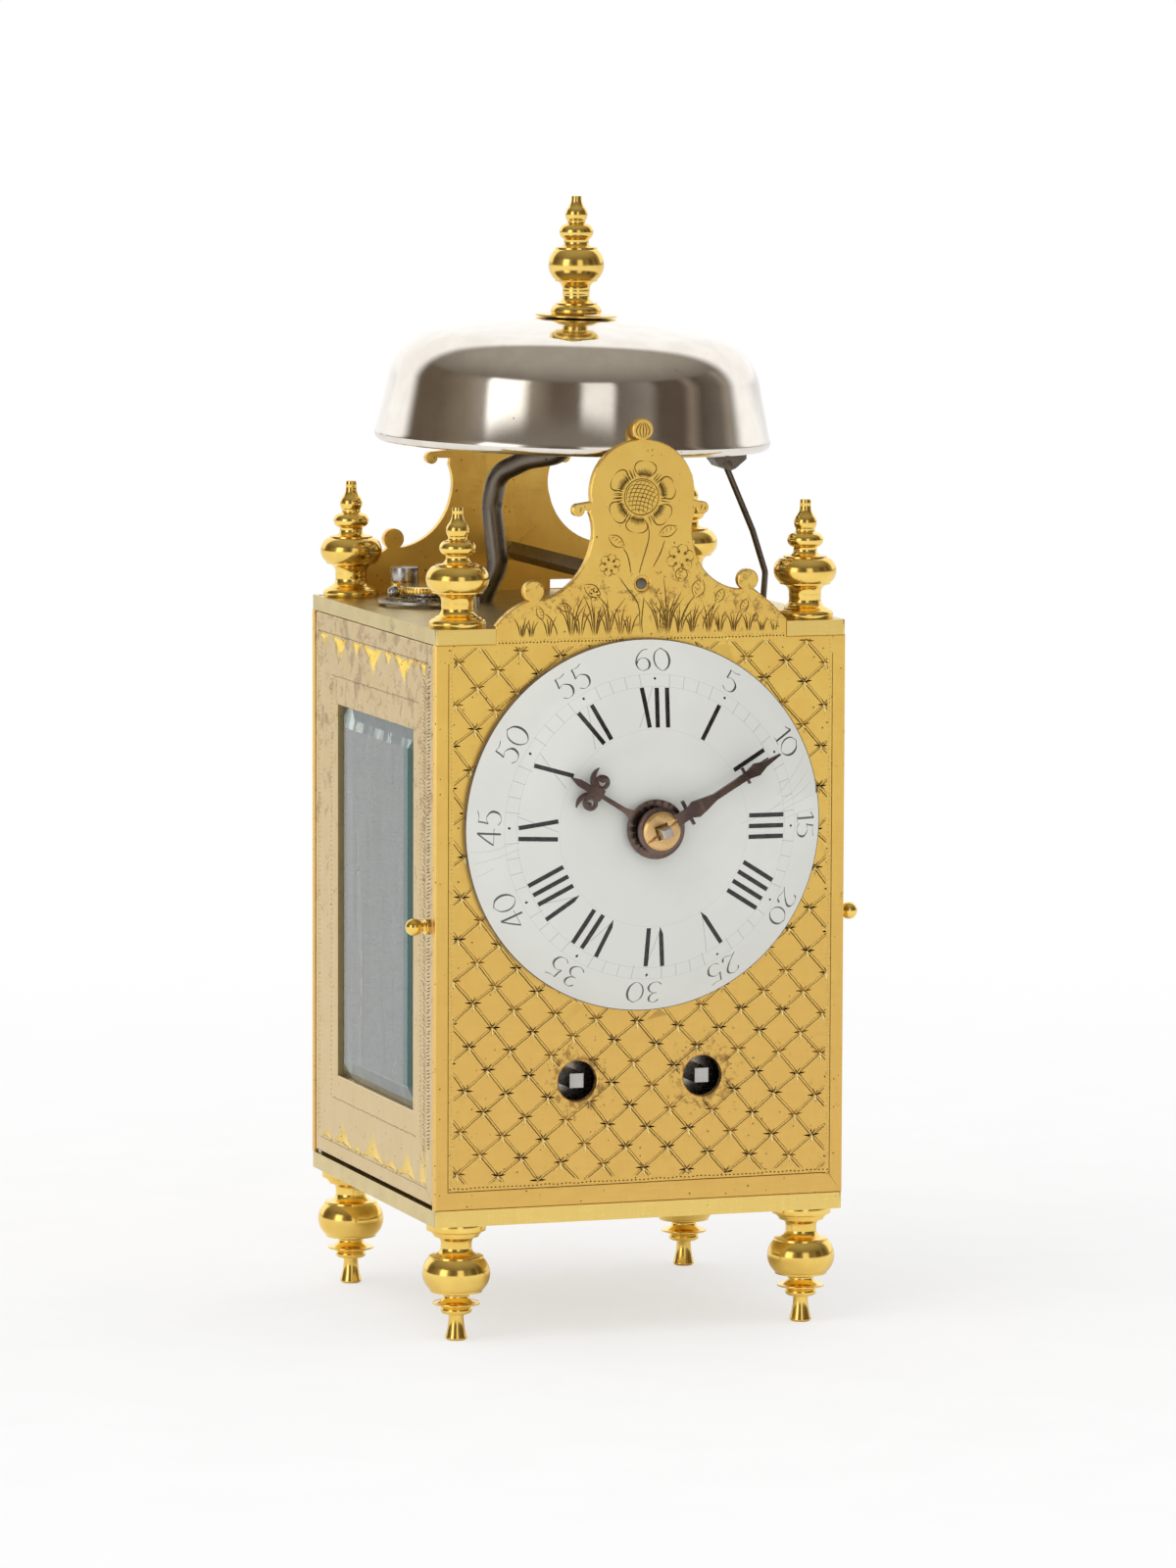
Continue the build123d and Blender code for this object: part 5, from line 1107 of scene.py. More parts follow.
class Wiring:
    """Places shader nodes in one tree and joins them."""

    def __init__(self, tree):
        self.tree = tree

    def add(self, kind, inputs=None, **values):
        """A node of a kind with its values set and its inputs fed."""
        node = self.tree.nodes.new(kind)
        for key, value in values.items():
            setattr(node, key, value)
        for key, value in (inputs or {}).items():
            self.feed(node.inputs[key], value)
        return node

    def feed(self, socket, value):
        """Joins an output to an input, or gives the input a plain value."""
        if isinstance(value, bpy.types.NodeSocket):
            self.tree.links.new(value, socket)
        else:
            socket.default_value = value

    def calc(self, operation, a, b=0.0, clamp=False):
        """The result of a sum on one or two values."""
        node = self.add("ShaderNodeMath", {0: a, 1: b}, operation=operation)
        node.use_clamp = clamp
        return node.outputs[0]

    def plus(self, a, b):
        """a and b added."""
        return self.calc("ADD", a, b)

    def minus(self, a, b):
        """a less b."""
        return self.calc("SUBTRACT", a, b)

    def times(self, a, b, clamp=False):
        """a times b, kept between 0 and 1 if it is clamped."""
        return self.calc("MULTIPLY", a, b, clamp)

    def step(self, value, low, high, to_low=0.0, to_high=1.0):
        """A smooth change from one value to another, between two levels of a third."""
        inputs = {"Value": value, "From Min": low, "From Max": high, "To Min": to_low, "To Max": to_high}
        return self.add("ShaderNodeMapRange", inputs, interpolation_type="SMOOTHSTEP").outputs[0]

    def noise(self, place, scale, detail=4.0, rough=0.55, distortion=0.0):
        """A cloudy value that changes from place to place."""
        inputs = {
            "Vector": place, "Scale": scale, "Detail": detail, "Roughness": rough, "Distortion": distortion,
        }
        return self.add("ShaderNodeTexNoise", inputs).outputs[0]

    def mix(self, share, a, b):
        """A colour between a and b, by the share of b."""
        return self.add("ShaderNodeMix", {0: share, 6: a, 7: b}, data_type="RGBA").outputs[2]

    def mark(self, title):
        """A value that the mesh carries."""
        return self.add("ShaderNodeAttribute", attribute_name=title).outputs["Fac"]

    def place(self):
        """The place on the piece, in metres."""
        return self.add("ShaderNodeTexCoord").outputs["Object"]

    def xyz(self, vector):
        """The three parts of a vector."""
        return self.add("ShaderNodeSeparateXYZ", {0: vector}).outputs

    def stretched(self, place, scale, rotation=(0, 0, 0)):
        """A place turned and squeezed, so that a noise there is drawn out."""
        inputs = {"Vector": place, "Scale": scale, "Rotation": rotation}
        return self.add("ShaderNodeMapping", inputs).outputs[0]

    def rays(self):
        """Where a ray comes from the camera, straight or through glass, and where it is a
        reflection."""
        kinds = self.add("ShaderNodeLightPath").outputs
        seen = self.calc("MAXIMUM", kinds["Is Camera Ray"], kinds["Is Transmission Ray"])
        return seen, kinds["Is Glossy Ray"]

    def bump(self, shader, height, strength, distance):
        """Bends a shader's normal by a height."""
        inputs = {"Height": height, "Strength": strength, "Distance": distance}
        self.feed(shader.inputs["Normal"], self.add("ShaderNodeBump", inputs).outputs[0])

    def group(self, title, **inputs):
        """One of the shared node groups, fed."""
        node = self.tree.nodes.new("ShaderNodeGroup")
        node.node_tree = effect(title)
        for key, value in inputs.items():
            self.feed(node.inputs[key], value)
        return node.outputs


def rgba(colour):
    """A colour with full cover."""
    return (*colour, 1.0)


def grey(level):
    """A grey with full cover."""
    return (level, level, level, 1.0)


def new_material(name):
    """A new material with its wiring and its shader."""
    material = bpy.data.materials.new(name)
    material.use_nodes = True
    return material, Wiring(material.node_tree), material.node_tree.nodes["Principled BSDF"]


def new_group(name, outputs, **inputs):
    """An empty node group with its wiring, its place and other inputs, and its outputs."""
    tree = bpy.data.node_groups.new(name, "ShaderNodeTree")
    tree.interface.new_socket("Place", in_out="INPUT", socket_type="NodeSocketVector")
    for title, default in inputs.items():
        socket = tree.interface.new_socket(title, in_out="INPUT", socket_type="NodeSocketFloat")
        socket.default_value = default
    for title in outputs:
        tree.interface.new_socket(title, in_out="OUTPUT", socket_type="NodeSocketFloat")
    given = tree.nodes.new("NodeGroupInput").outputs
    return tree, Wiring(tree), given, tree.nodes.new("NodeGroupOutput").inputs


def stain_group(name):
    """Patches with ragged edges: one slow noise against a threshold set by the amount,
    broken up by a finer noise."""
    tree, w, given, result = new_group(name, ["Mask"], Scale=300.0, Amount=0.4)
    slow = w.noise(given["Place"], given["Scale"], 5.0, 0.62, 0.6)
    fine = w.noise(given["Place"], w.times(given["Scale"], 7.0), 5.0, 0.7)
    both = w.plus(w.times(slow, 0.72), w.times(fine, 0.28))
    low = w.minus(0.78, w.times(given["Amount"], 0.42))
    w.feed(result["Mask"], w.step(both, low, w.plus(low, 0.1)))
    return tree


def pit_group(name):
    """Small round pits: cells whose random value passes a share, dark near their centres."""
    tree, w, given, result = new_group(name, ["Mask"], Scale=900.0, Share=0.2)
    cells = w.add("ShaderNodeTexVoronoi", {"Vector": given["Place"], "Scale": given["Scale"]})
    picked = w.add("ShaderNodeSeparateColor", {0: cells.outputs["Color"]}).outputs[0]
    size = w.times(w.minus(given["Share"], picked), 1.4, clamp=True)
    w.feed(result["Mask"], w.step(cells.outputs["Distance"], size, w.times(size, 0.55)))
    return tree


def rub_group(name):
    """Fine rubbing marks: noise drawn out along one direction, and a broad unevenness."""
    tree, w, given, result = new_group(name, ["Lines", "Broad"], Fine=1.0)
    drawn = w.stretched(given["Place"], (1.0, 1.0, 0.07), (0.35, 0.2, 0.0))
    other = w.stretched(given["Place"], (0.06, 1.0, 1.0), (0.1, 0.15, 0.5))
    scale = w.times(given["Fine"], 5200.0)
    lines = w.plus(w.noise(drawn, scale, 3.0), w.noise(other, scale, 3.0))
    w.feed(result["Lines"], w.times(lines, 0.5))
    w.feed(result["Broad"], w.noise(given["Place"], 240.0, 3.0, 0.5))
    return tree


EFFECTS = {"stain patches": stain_group, "small pits": pit_group, "rubbing marks": rub_group}


def effect(name):
    """A shared node group, built when it is first asked for."""
    return bpy.data.node_groups.get(name) or EFFECTS[name](name)


# each metal's name and colour; its roughness; the scale, amount, strength and colour of its
# stains, of the user's colour where that is None; the scale and share of its pits; its rubbing
# marks and unevenness; and other colours, as screen values, that only it has. Among these,
# bright is a painted highlight on the bright cuts and front a painted sheen on faces to the front.
WORKS = (0.3, (300.0, 0.45, 0.5, None), (1400.0, 0.1), (0.5, 0.2))
METALS = {
    "gilt_plate": (
        "engraved gilding", "gilt", 0.36, (900.0, 0.31, 0.56, (132, 92, 66)), (1500.0, 0.2), (0.9, 0.1),
        # bright: painted highlight on the cuts with a bright tone
        {"bright": (255, 240, 184), "tint": (252, 208, 108), "lower_colour": (240, 197, 108)},
    ),
    "plate_brass": (
        "pale plate brass", "plate", 0.33, (200.0, 0.42, 0.4, (150, 128, 84)), (1000.0, 0.12), (0.8, 0.5),
        # front: a painted sheen, a brighter yellow on faces that look to the front
        {"tint": (216, 196, 136), "front": (250, 218, 128)},
    ),
    "door_brass": (
        "door brass", "door", 0.34, (420.0, 0.36, 0.42, (150, 118, 96)), (1000.0, 0.14), (0.9, 0.15),
        # bright: painted highlight on the cuts with a bright tone
        {"bright": (255, 222, 120), "tint": (222, 196, 142)},
    ),
    "turned_brass": (
        "polished turned brass", "turned", 0.16, (420.0, 0.16, 0.5, None), (1500.0, 0.04), (0.25, 0.1),
        {"tint": (246, 206, 106)},
    ),
    "movement_brass": ("wheel brass", "works", *WORKS, {}),
    "wheel_and_arbor": ("wheel brass and arbor steel", "works", *WORKS, {"core": (190, 184, 176)}),
    "rose_brass": ("rose brass", "rose", 0.3, (500.0, 0.25, 0.5, None), (1500.0, 0.1), (1.0, 0.1), {}),
    "bell_metal": (
        "bell metal", "bell", 0.09, (900.0, 0.05, 0.85, (70, 58, 46)), (1100.0, 0.1), (0.16, 0.1),
        {"tint": (229, 222, 212)},
    ),
    "steel": (
        "forged steel", "steel", 0.34, (380.0, 0.5, 0.7, (70, 58, 48)), (1600.0, 0.3), (1.4, 2.2), {},
    ),
    "blued_steel": (
        "blued steel", "blued", 0.27, (700.0, 0.45, 0.7, (110, 84, 66)), (2400.0, 0.12), (0.6, 0.5),
        {"tint": (88, 72, 68)},
    ),
    "bright_steel": (
        "bright steel", "bright", 0.25, (700.0, 0.3, 0.4, (120, 112, 104)), (2000.0, 0.1), (0.8, 0.4), {},
    ),
}


def metal(colours, name, colour, rough, stains, pits, marks, others):
    """A worked metal: its colour drifts to a tint, stains and pits darken it, a cut with a
    bright tone takes a painted highlight and one with a dark tone dirt in the groove with
    painted shade, and rubbing marks break its gloss. It may turn darker towards the feet,
    have a painted sheen on faces to the front, or a steel core behind the dial."""
    material, w, shader = new_material(name)
    place = w.place()
    others = {key: linear(*screen) for key, screen in others.items()}
    stain_scale, stain_amount, stain_strength, stain = stains
    stain = linear(*stain) if stain else tuple(colours.stain)
    colour = tuple(getattr(colours, colour))
    rub = w.group("rubbing marks", Place=place)
    tint = others.get("tint", tuple(c * 0.8 for c in colour))
    base = w.mix(w.step(rub["Broad"], 0.3, 0.7), rgba(tint), rgba(colour))
    # darker towards the feet: the colour shifts with height alone
    if "lower_colour" in others:
        base = w.mix(w.step(w.xyz(place)["Z"], 95 * MM, 35 * MM), base, rgba(others["lower_colour"]))
    # painted sheen: faces that look to the front take a brighter, yellower colour
    if "front" in others:
        faces = w.xyz(w.add("ShaderNodeNewGeometry").outputs["Normal"])["Y"]
        base = w.mix(w.step(faces, -0.7, -0.9), base, rgba(others["front"]))
    if "core" in others:
        x, _, z = w.xyz(place)
        rise = w.minus(z, DIAL_Z * MM)
        away = w.calc("SQRT", w.plus(w.times(x, x), w.times(rise, rise)))
        inside = w.step(away, ARBOR_RADIUS * MM, (ARBOR_RADIUS - 0.05) * MM)
        base = w.mix(inside, base, rgba(others["core"]))
    # painted highlight where a cut's tone is bright; where it is dark, dirt in the groove with painted
    # shade
    if "bright" in others:
        cut = w.mark("cut")
        base = w.mix(w.times(cut, 0.5, clamp=True), base, rgba(others["bright"]))
        base = w.mix(w.times(cut, -0.75, clamp=True), base, rgba(tuple(c * 0.45 for c in stain)))
    more = w.plus(stain_amount, w.mark("stain"))
    patches = w.group("stain patches", Place=place, Scale=stain_scale, Amount=more)
    stained = w.times(patches["Mask"], stain_strength)
    base = w.mix(stained, base, rgba(stain))
    sunk = w.group("small pits", Place=place, Scale=pits[0], Share=pits[1])["Mask"]
    base = w.mix(w.times(sunk, 0.75), base, rgba(tuple(c * 0.25 for c in stain)))
    w.feed(shader.inputs["Base Color"], base)
    gloss = w.step(rub["Lines"], 0.35, 0.65, rough * 0.82, rough * 1.2)
    gloss = w.calc("MINIMUM", w.plus(gloss, w.times(stained, 0.22)), 1.0)
    w.feed(shader.inputs["Roughness"], gloss)
    shader.inputs["Metallic"].default_value = 1.0
    height = w.plus(w.times(rub["Lines"], marks[0]), w.times(rub["Broad"], marks[1] * 3))
    w.bump(shader, w.minus(height, w.times(sunk, 1.2)), 0.7, 0.00001)
    return material


def enamel_material(colours):
    """Fired enamel: a glossy white with painted figures, hairlines and faint cloudiness."""
    material, w, shader = new_material("fired enamel")
    place = w.place()
    cloud = w.step(w.noise(place, 90.0, 4.0), 0.35, 0.7)
    white = w.mix(cloud, rgba(tuple(c * 0.955 for c in colours.enamel)), rgba(colours.enamel))
    specks = w.group("small pits", Place=place, Scale=420.0, Share=0.035)["Mask"]
    white = w.mix(w.times(specks, 0.35), white, rgba(linear(140, 132, 118)))
    # dark brown on the dial's rim and sides: the enamel's own dark edge, with painted shade where the dial
    # meets the plate
    white = w.mix(w.mark("edge"), white, rgba(linear(84, 62, 42)))
    paint = w.times(w.mark("cut"), w.step(w.noise(place, 1500.0, 2.0), 0.2, 0.6, 0.96, 1.0))
    w.feed(shader.inputs["Base Color"], w.mix(paint, white, rgba(colours.ink)))
    w.feed(shader.inputs["Roughness"], w.step(w.noise(place, 500.0, 3.0), 0.3, 0.7, 0.07, 0.12))
    w.bump(shader, w.noise(place, 130.0, 2.0), 0.25, 0.0001)
    return material


def glass_material(colours):
    """Bevelled plate glass: clear in the middle, with green in its ground edges."""
    material, w, shader = new_material("bevelled glass")
    low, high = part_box("left_glass")
    place = w.place()
    _, y, z = w.xyz(place)
    along = w.step(y, low[1] + 0.0062, low[1] + 0.0058)
    away = w.calc("ABSOLUTE", w.minus(z, (low[2] + high[2]) / 2))
    across = w.step(away, (high[2] - low[2]) / 2 - 0.0043, (high[2] - low[2]) / 2 - 0.0040)
    tint = w.mix(along, rgba(linear(224, 231, 230)), rgba(colours.glass_edge))
    tint = w.mix(w.times(across, 0.8), tint, rgba(linear(198, 226, 218)))
    w.feed(shader.inputs["Base Color"], tint)
    dust = w.group("small pits", Place=place, Scale=600.0, Share=0.06)["Mask"]
    haze = w.step(w.noise(place, 350.0), 0.35, 0.75, 0.01, 0.05)
    w.feed(shader.inputs["Roughness"], w.plus(haze, w.times(dust, 0.25)))
    shader.inputs["Transmission Weight"].default_value = 0.92
    shader.inputs["IOR"].default_value = 1.5
    w.bump(shader, w.noise(w.stretched(place, (1.0, 1.0, 0.3)), 90.0, 2.0), 0.5, 0.0004)
    return material


def make_finish(slot):
    """The material of a slot: one of the metals, the dial's enamel, or else the glass."""
    colours = bpy.context.scene.lantern_clock_colours
    if slot in METALS:
        return metal(colours, *METALS[slot])
    return enamel_material(colours) if slot == "enamel" else glass_material(colours)


FINISHES = {}
OWN_FINISHES = {
    "cock_screw": "bright_steel", "regulator_index": "bright_steel", "hand_nut": "rose_brass",
    "centre_wheel": "wheel_and_arbor",
}


def finish(node):
    """The material of a node's slot, or its own, made when it is first asked for."""
    title = OWN_FINISHES.get(node, slot_of(node))
    if title not in FINISHES:
        FINISHES[title] = make_finish(title)
    return FINISHES[title]


# ---- Operators: one for each piece or group of like pieces ------------------------------------


# the room's bands: the angle of each in degrees from the camera's own, and its colour
ROOM_BANDS = (
    (-180, (1.1, 1.1, 1.1)), (-154, (0.95, 0.95, 0.95)), (-148, (0.5, 0.5, 0.5)),
    (-142, (1.0, 1.0, 1.0)), (-137, (0.36, 0.36, 0.36)), (-128, (0.40, 0.37, 0.31)),
    (-121, (0.13, 0.10, 0.07)), (-92, (0.14, 0.105, 0.075)), (-72, (0.23, 0.19, 0.14)),
    (-58, (0.36, 0.32, 0.28)), (-54, (1.7, 1.7, 1.68)), (-34, (1.6, 1.57, 1.5)),
    (-27, (0.30, 0.26, 0.21)), (-12, (0.13, 0.10, 0.075)), (4, (0.15, 0.12, 0.095)),
    (8, (1.0, 0.98, 0.94)), (25, (1.0, 0.97, 0.93)), (29, (0.16, 0.13, 0.11)),
    (50, (0.25, 0.22, 0.19)), (57, (0.10, 0.075, 0.058)), (74, (0.10, 0.075, 0.058)),
    (80, (0.26, 0.21, 0.17)), (88, (0.09, 0.072, 0.055)), (104, (0.16, 0.135, 0.11)),
    (111, (0.33, 0.29, 0.24)), (119, (0.12, 0.11, 0.10)), (135, (0.42, 0.43, 0.44)),
    (180, (1.1, 1.1, 1.1)),
)
BACKDROP = 1.12
CEILING_EDGE, CEILING_TOP = (0.17, 0.145, 0.12), (0.40, 0.37, 0.32)
FLOOR_HALF = 3.0
FLOOR_DARK, FLOOR_PALE = 0.93, 0.96
LAMP_SIZE = 1.2
LAMP_PLACE = (-0.9, -0.5, 1.5)
LAMP_TARGET = (0, 0, 0.06)


class MakeStage(bpy.types.Operator):
    """Sets up the camera, the floor, the room's light and one soft lamp."""

    bl_idname = "lantern_clock.stage"
    bl_label = "Stage"

    def execute(self, context):
        scene = context.scene
        values = scene.lantern_clock_stage
        self.add_camera(scene)
        self.add_room(scene, values)
        self.add_floor(scene, values)
        self.add_lamp(scene, values)
        scene.view_settings.view_transform = "Standard"
        return {"FINISHED"}

    def add_camera(self, scene):
        """The camera, from its azimuth, elevation, roll and place."""
        data = bpy.data.cameras.new("camera")
        camera = bpy.data.objects.new("camera", data)
        scene.collection.objects.link(camera)
        data.sensor_fit = "AUTO"
        data.sensor_width = 36
        data.lens = FOCAL_PIXELS * data.sensor_width / IMAGE_HEIGHT
        flat, rise = CAMERA_AZIMUTH, CAMERA_ELEVATION
        back = Vector((math.sin(flat) * math.cos(rise), -math.cos(flat) * math.cos(rise), math.sin(rise)))
        right = Vector((0, 0, 1)).cross(back).normalized()
        up = back.cross(right)
        rolled_right = right * math.cos(CAMERA_ROLL) + up * math.sin(CAMERA_ROLL)
        rolled_up = up * math.cos(CAMERA_ROLL) - right * math.sin(CAMERA_ROLL)
        turned = Matrix((rolled_right, rolled_up, back)).transposed().to_4x4()
        turned.translation = Vector(CAMERA_PLACE)
        camera.matrix_world = turned
        scene.camera = camera

    def add_room(self, scene, values):
        """The room as metal sees it: bands round the horizon, whose place is the direction's
        angle round z from the camera's own, a dim ceiling, and a white backdrop behind the
        clock, which fills a round patch about the direction away from the camera."""
        world = bpy.data.worlds.new("studio")
        scene.world = world
        world.use_nodes = True
        w = Wiring(world.node_tree)
        background = world.node_tree.nodes["Background"]
        direction = w.add("ShaderNodeTexCoord").outputs["Generated"]
        x, y, z = w.xyz(direction)
        turn = w.minus(w.calc("ARCTAN2", x, w.times(y, -1.0)), CAMERA_AZIMUTH)
        part = w.calc("FRACT", w.plus(w.calc("DIVIDE", turn, 2 * math.pi), 1.5))
        bands = w.add("ShaderNodeValToRGB", {0: part})
        ramp = bands.color_ramp
        while len(ramp.elements) < len(ROOM_BANDS):
            ramp.elements.new(0.5)
        for element, (degrees, colour) in zip(ramp.elements, ROOM_BANDS):
            element.position = (degrees + 180) / 360
            element.color = rgba(colour)
        flat = w.calc("SQRT", w.minus(1.0, w.times(z, z)))
        away = w.times(w.times(w.calc("COSINE", turn), -1.0), flat)
        backdrop = w.times(w.step(away, 0.36, 0.56), w.step(z, -0.04, 0.12))
        ceiling = w.mix(w.step(z, 0.4, 1.0), rgba(CEILING_EDGE), rgba(CEILING_TOP))
        shine = w.mix(w.step(z, 0.44, 0.54), bands.outputs[0], ceiling)
        shine = w.mix(backdrop, shine, grey(BACKDROP))
        shine = w.mix(w.step(z, -0.2, -0.5), shine, grey(1.0))
        seen, reflected = w.rays()
        colour = w.mix(reflected, grey(values.daylight), shine)
        w.feed(background.inputs["Color"], w.mix(seen, colour, grey(1.0)))

    def add_floor(self, scene, values):
        """A wide floor whose shadow is partly lost in light, as on a lit sweep."""
        mesh = bpy.data.meshes.new("floor")
        corners = [(x * FLOOR_HALF, y * FLOOR_HALF, 0) for x, y in ((-1, -1), (1, -1), (1, 1), (-1, 1))]
        mesh.from_pydata(corners, [], [(0, 1, 2, 3)])
        floor = bpy.data.objects.new("floor", mesh)
        scene.collection.objects.link(floor)
        material, w, shader = new_material("studio sweep")
        grain = w.step(w.noise(w.place(), 60.0, 3.0), 0.3, 0.7)
        w.feed(shader.inputs["Base Color"], w.mix(grain, grey(FLOOR_DARK), grey(FLOOR_PALE)))
        shader.inputs["Roughness"].default_value = 0.9
        shader.inputs["Specular IOR Level"].default_value = 0.0
        glow = w.add("ShaderNodeEmission", {"Color": grey(1.0), "Strength": 1.0})
        distance = w.add("ShaderNodeVectorMath", {0: w.place()}, operation="LENGTH").outputs["Value"]
        lost = w.step(distance, 0.08, 0.45, 1 - values.shadow, 1.0)
        seen, _ = w.rays()
        share = w.times(seen, lost)
        blend = w.add("ShaderNodeMixShader", {0: share, 1: shader.outputs[0], 2: glow.outputs[0]})
        surface = material.node_tree.nodes["Material Output"].inputs["Surface"]
        w.feed(surface, blend.outputs[0])
        mesh.materials.append(material)

    def add_lamp(self, scene, values):
        """A large lamp that lights the clock but is not mirrored in it."""
        data = bpy.data.lights.new("soft lamp", "AREA")
        data.shape = "DISK"
        data.size = LAMP_SIZE
        data.energy = values.lamp
        lamp = bpy.data.objects.new("soft lamp", data)
        scene.collection.objects.link(lamp)
        lamp.location = LAMP_PLACE
        aim = Vector(LAMP_TARGET) - Vector(lamp.location)
        lamp.rotation_euler = aim.to_track_quat("-Z", "Y").to_euler()
        lamp.visible_glossy = False


class EngraveFront(bpy.types.Operator):
    """The front plate with its lattice, border and flowered crest."""

    bl_idname = "lantern_clock.front"
    bl_label = "Engraved front"

    def execute(self, context):
        scene = context.scene
        sizes = scene.lantern_clock_sizes
        cuts = Cuts()
        cuts.lines += lattice_cuts(sizes.groove).kept_where(inside_border, 0.0).lines
        cuts.lines += border_cuts().lines
        cuts.lines += crest_cuts().lines
        points, triangles, tone, _ = recut(
            "front_plate", "front", cuts, sizes.softness / MM, sizes.groove_steepness, limit=near_dial
        )
        height = points[:, 2] - ROOF
        crest = 0.32 * np.exp(-((height - 4) / 6) ** 2) * (height > -2)
        holes = np.hypot(np.abs(points[:, 0]) - WINDING_X, points[:, 2] - WINDING_Z)
        holes = 0.6 * np.exp(-(holes / 5.5) ** 2)
        right = 0.12 * np.clip(points[:, 0] / 30, 0, 1)
        name = "front_plate_engraved"
        stain = {"stain": crest + holes + right}
        mesh = mesh_from(name, points, triangles, None, {"cut": tone}, stain)
        add_piece(name, mesh, ("front_plate",))
        return {"FINISHED"}


class EngraveDoors(bpy.types.Operator):
    """The two side doors with their pointed borders and hatching."""

    bl_idname = "lantern_clock.doors"
    bl_label = "Engraved doors"

    def execute(self, context):
        scene = context.scene
        sizes = scene.lantern_clock_sizes
        for side, direction in (("left", 1), ("right", -1)):
            name = f"{side}_door"
            points, triangles, tone, _ = recut(
                name, side, door_cuts(direction), sizes.softness / MM, sizes.groove_steepness
            )
            height = (points[:, 2] - CASE_LOW) / DOOR_HEIGHT
            stain = 0.28 * np.clip(height - 0.15, 0, 1) + 0.1
            title = f"{name}_engraved"
            mesh = mesh_from(title, points, triangles, None, {"cut": tone}, {"stain": stain})
            add_piece(title, mesh, (name,))
        return {"FINISHED"}


class PaintDial(bpy.types.Operator):
    """The domed enamel dial with its painted figures."""

    bl_idname = "lantern_clock.dial"
    bl_label = "Painted dial"

    def execute(self, context):
        rings = []
        for radius in np.arange(1.0, 25.5, 0.8):
            turn = np.linspace(0, 2 * math.pi, int(8 * radius) + 6, endpoint=False)
            rings.append(radius * np.stack([np.cos(turn), np.sin(turn)], -1))
        extra = np.concatenate(rings) + np.array([0, DIAL_Z])
        clear = np.hypot(extra[:, 0], extra[:, 1] - DIAL_Z) > 4.0
        points, triangles, tone, is_new = recut(
            "dial", "front", dial_cuts(), 0.1, 0.0, flat=False, extra=extra[clear], lift=dome_level
        )
        middle = points[triangles].mean(axis=1)
        distance = np.hypot(middle[:, 0], middle[:, 2] - DIAL_Z)
        # the rim and the sides of the dial: the enamel's dark edge, with painted shade where the dial meets
        # the plate
        edge = ((distance > DIAL_RADIUS - 0.2) | (middle[:, 1] > DIAL_EDGE)).astype(float) * 0.95
        marks = {"cut": tone, "edge": edge}
        mesh = mesh_from("dial_painted", points, triangles, SHARP_ANGLE, marks)
        self.round_normals(mesh, triangles, points, is_new)
        add_piece("dial_painted", mesh, ("dial",))
        return {"FINISHED"}

    def round_normals(self, mesh, triangles, points, is_new):
        """Gives the dome its true normal: the outward direction less the slope of its level,
        which is minus four times the dome times the cube of the radius share."""
        normals = np.empty(len(mesh.loops) * 3, np.float32)
        mesh.corner_normals.foreach_get("vector", normals)
        normals = normals.reshape(-1, 3)
        spots = points[triangles.ravel()]
        flat = np.stack([spots[:, 0], spots[:, 2] - DIAL_Z], -1) / DIAL_RADIUS
        slope = -4 * DIAL_DOME / DIAL_RADIUS * (flat**2).sum(axis=1, keepdims=True) * flat
        true = np.stack([-slope[:, 0], -np.ones(len(slope)), -slope[:, 1]], -1)
        true /= np.linalg.norm(true, axis=1, keepdims=True)
        use = np.repeat(is_new, 3)
        normals[use] = true[use]
        mesh.normals_split_custom_set(normals.tolist())


class MakeHands(bpy.types.Operator):
    """The hour hand, the minute hand and the nut, with filed edges."""

    bl_idname = "lantern_clock.hands"
    bl_label = "Hands"

    def execute(self, context):
        softened("hour_hand_filed", "hour_hand", 0.16)
        softened("minute_hand_filed", "minute_hand", 0.16)
        softened("hand_nut_turned", "hand_nut", 0.1)
        return {"FINISHED"}


# dull places on the bell: where each is, how far it reaches and how strong it is
BELL_PITS = (
    ((-17.8, -15.0, 128.2), 0.8, 1.6), ((-18.7, -14.4, 127.7), 0.6, 1.5),
    ((-16.6, -15.7, 129.2), 0.5, 1.4), ((-19.6, -13.5, 127.7), 0.45, 1.3),
    ((-8.0, -19.6, 131.0), 0.6, 0.9), ((-10.1, -19.6, 128.0), 0.6, 0.9),
    ((2.0, -21.3, 127.6), 0.9, 0.9), ((14.8, -15.8, 131.1), 1.4, 0.7),
    ((-22.4, -10.8, 126.4), 1.2, 0.8), ((6.7, -18.4, 134.2), 1.0, 0.6),
)


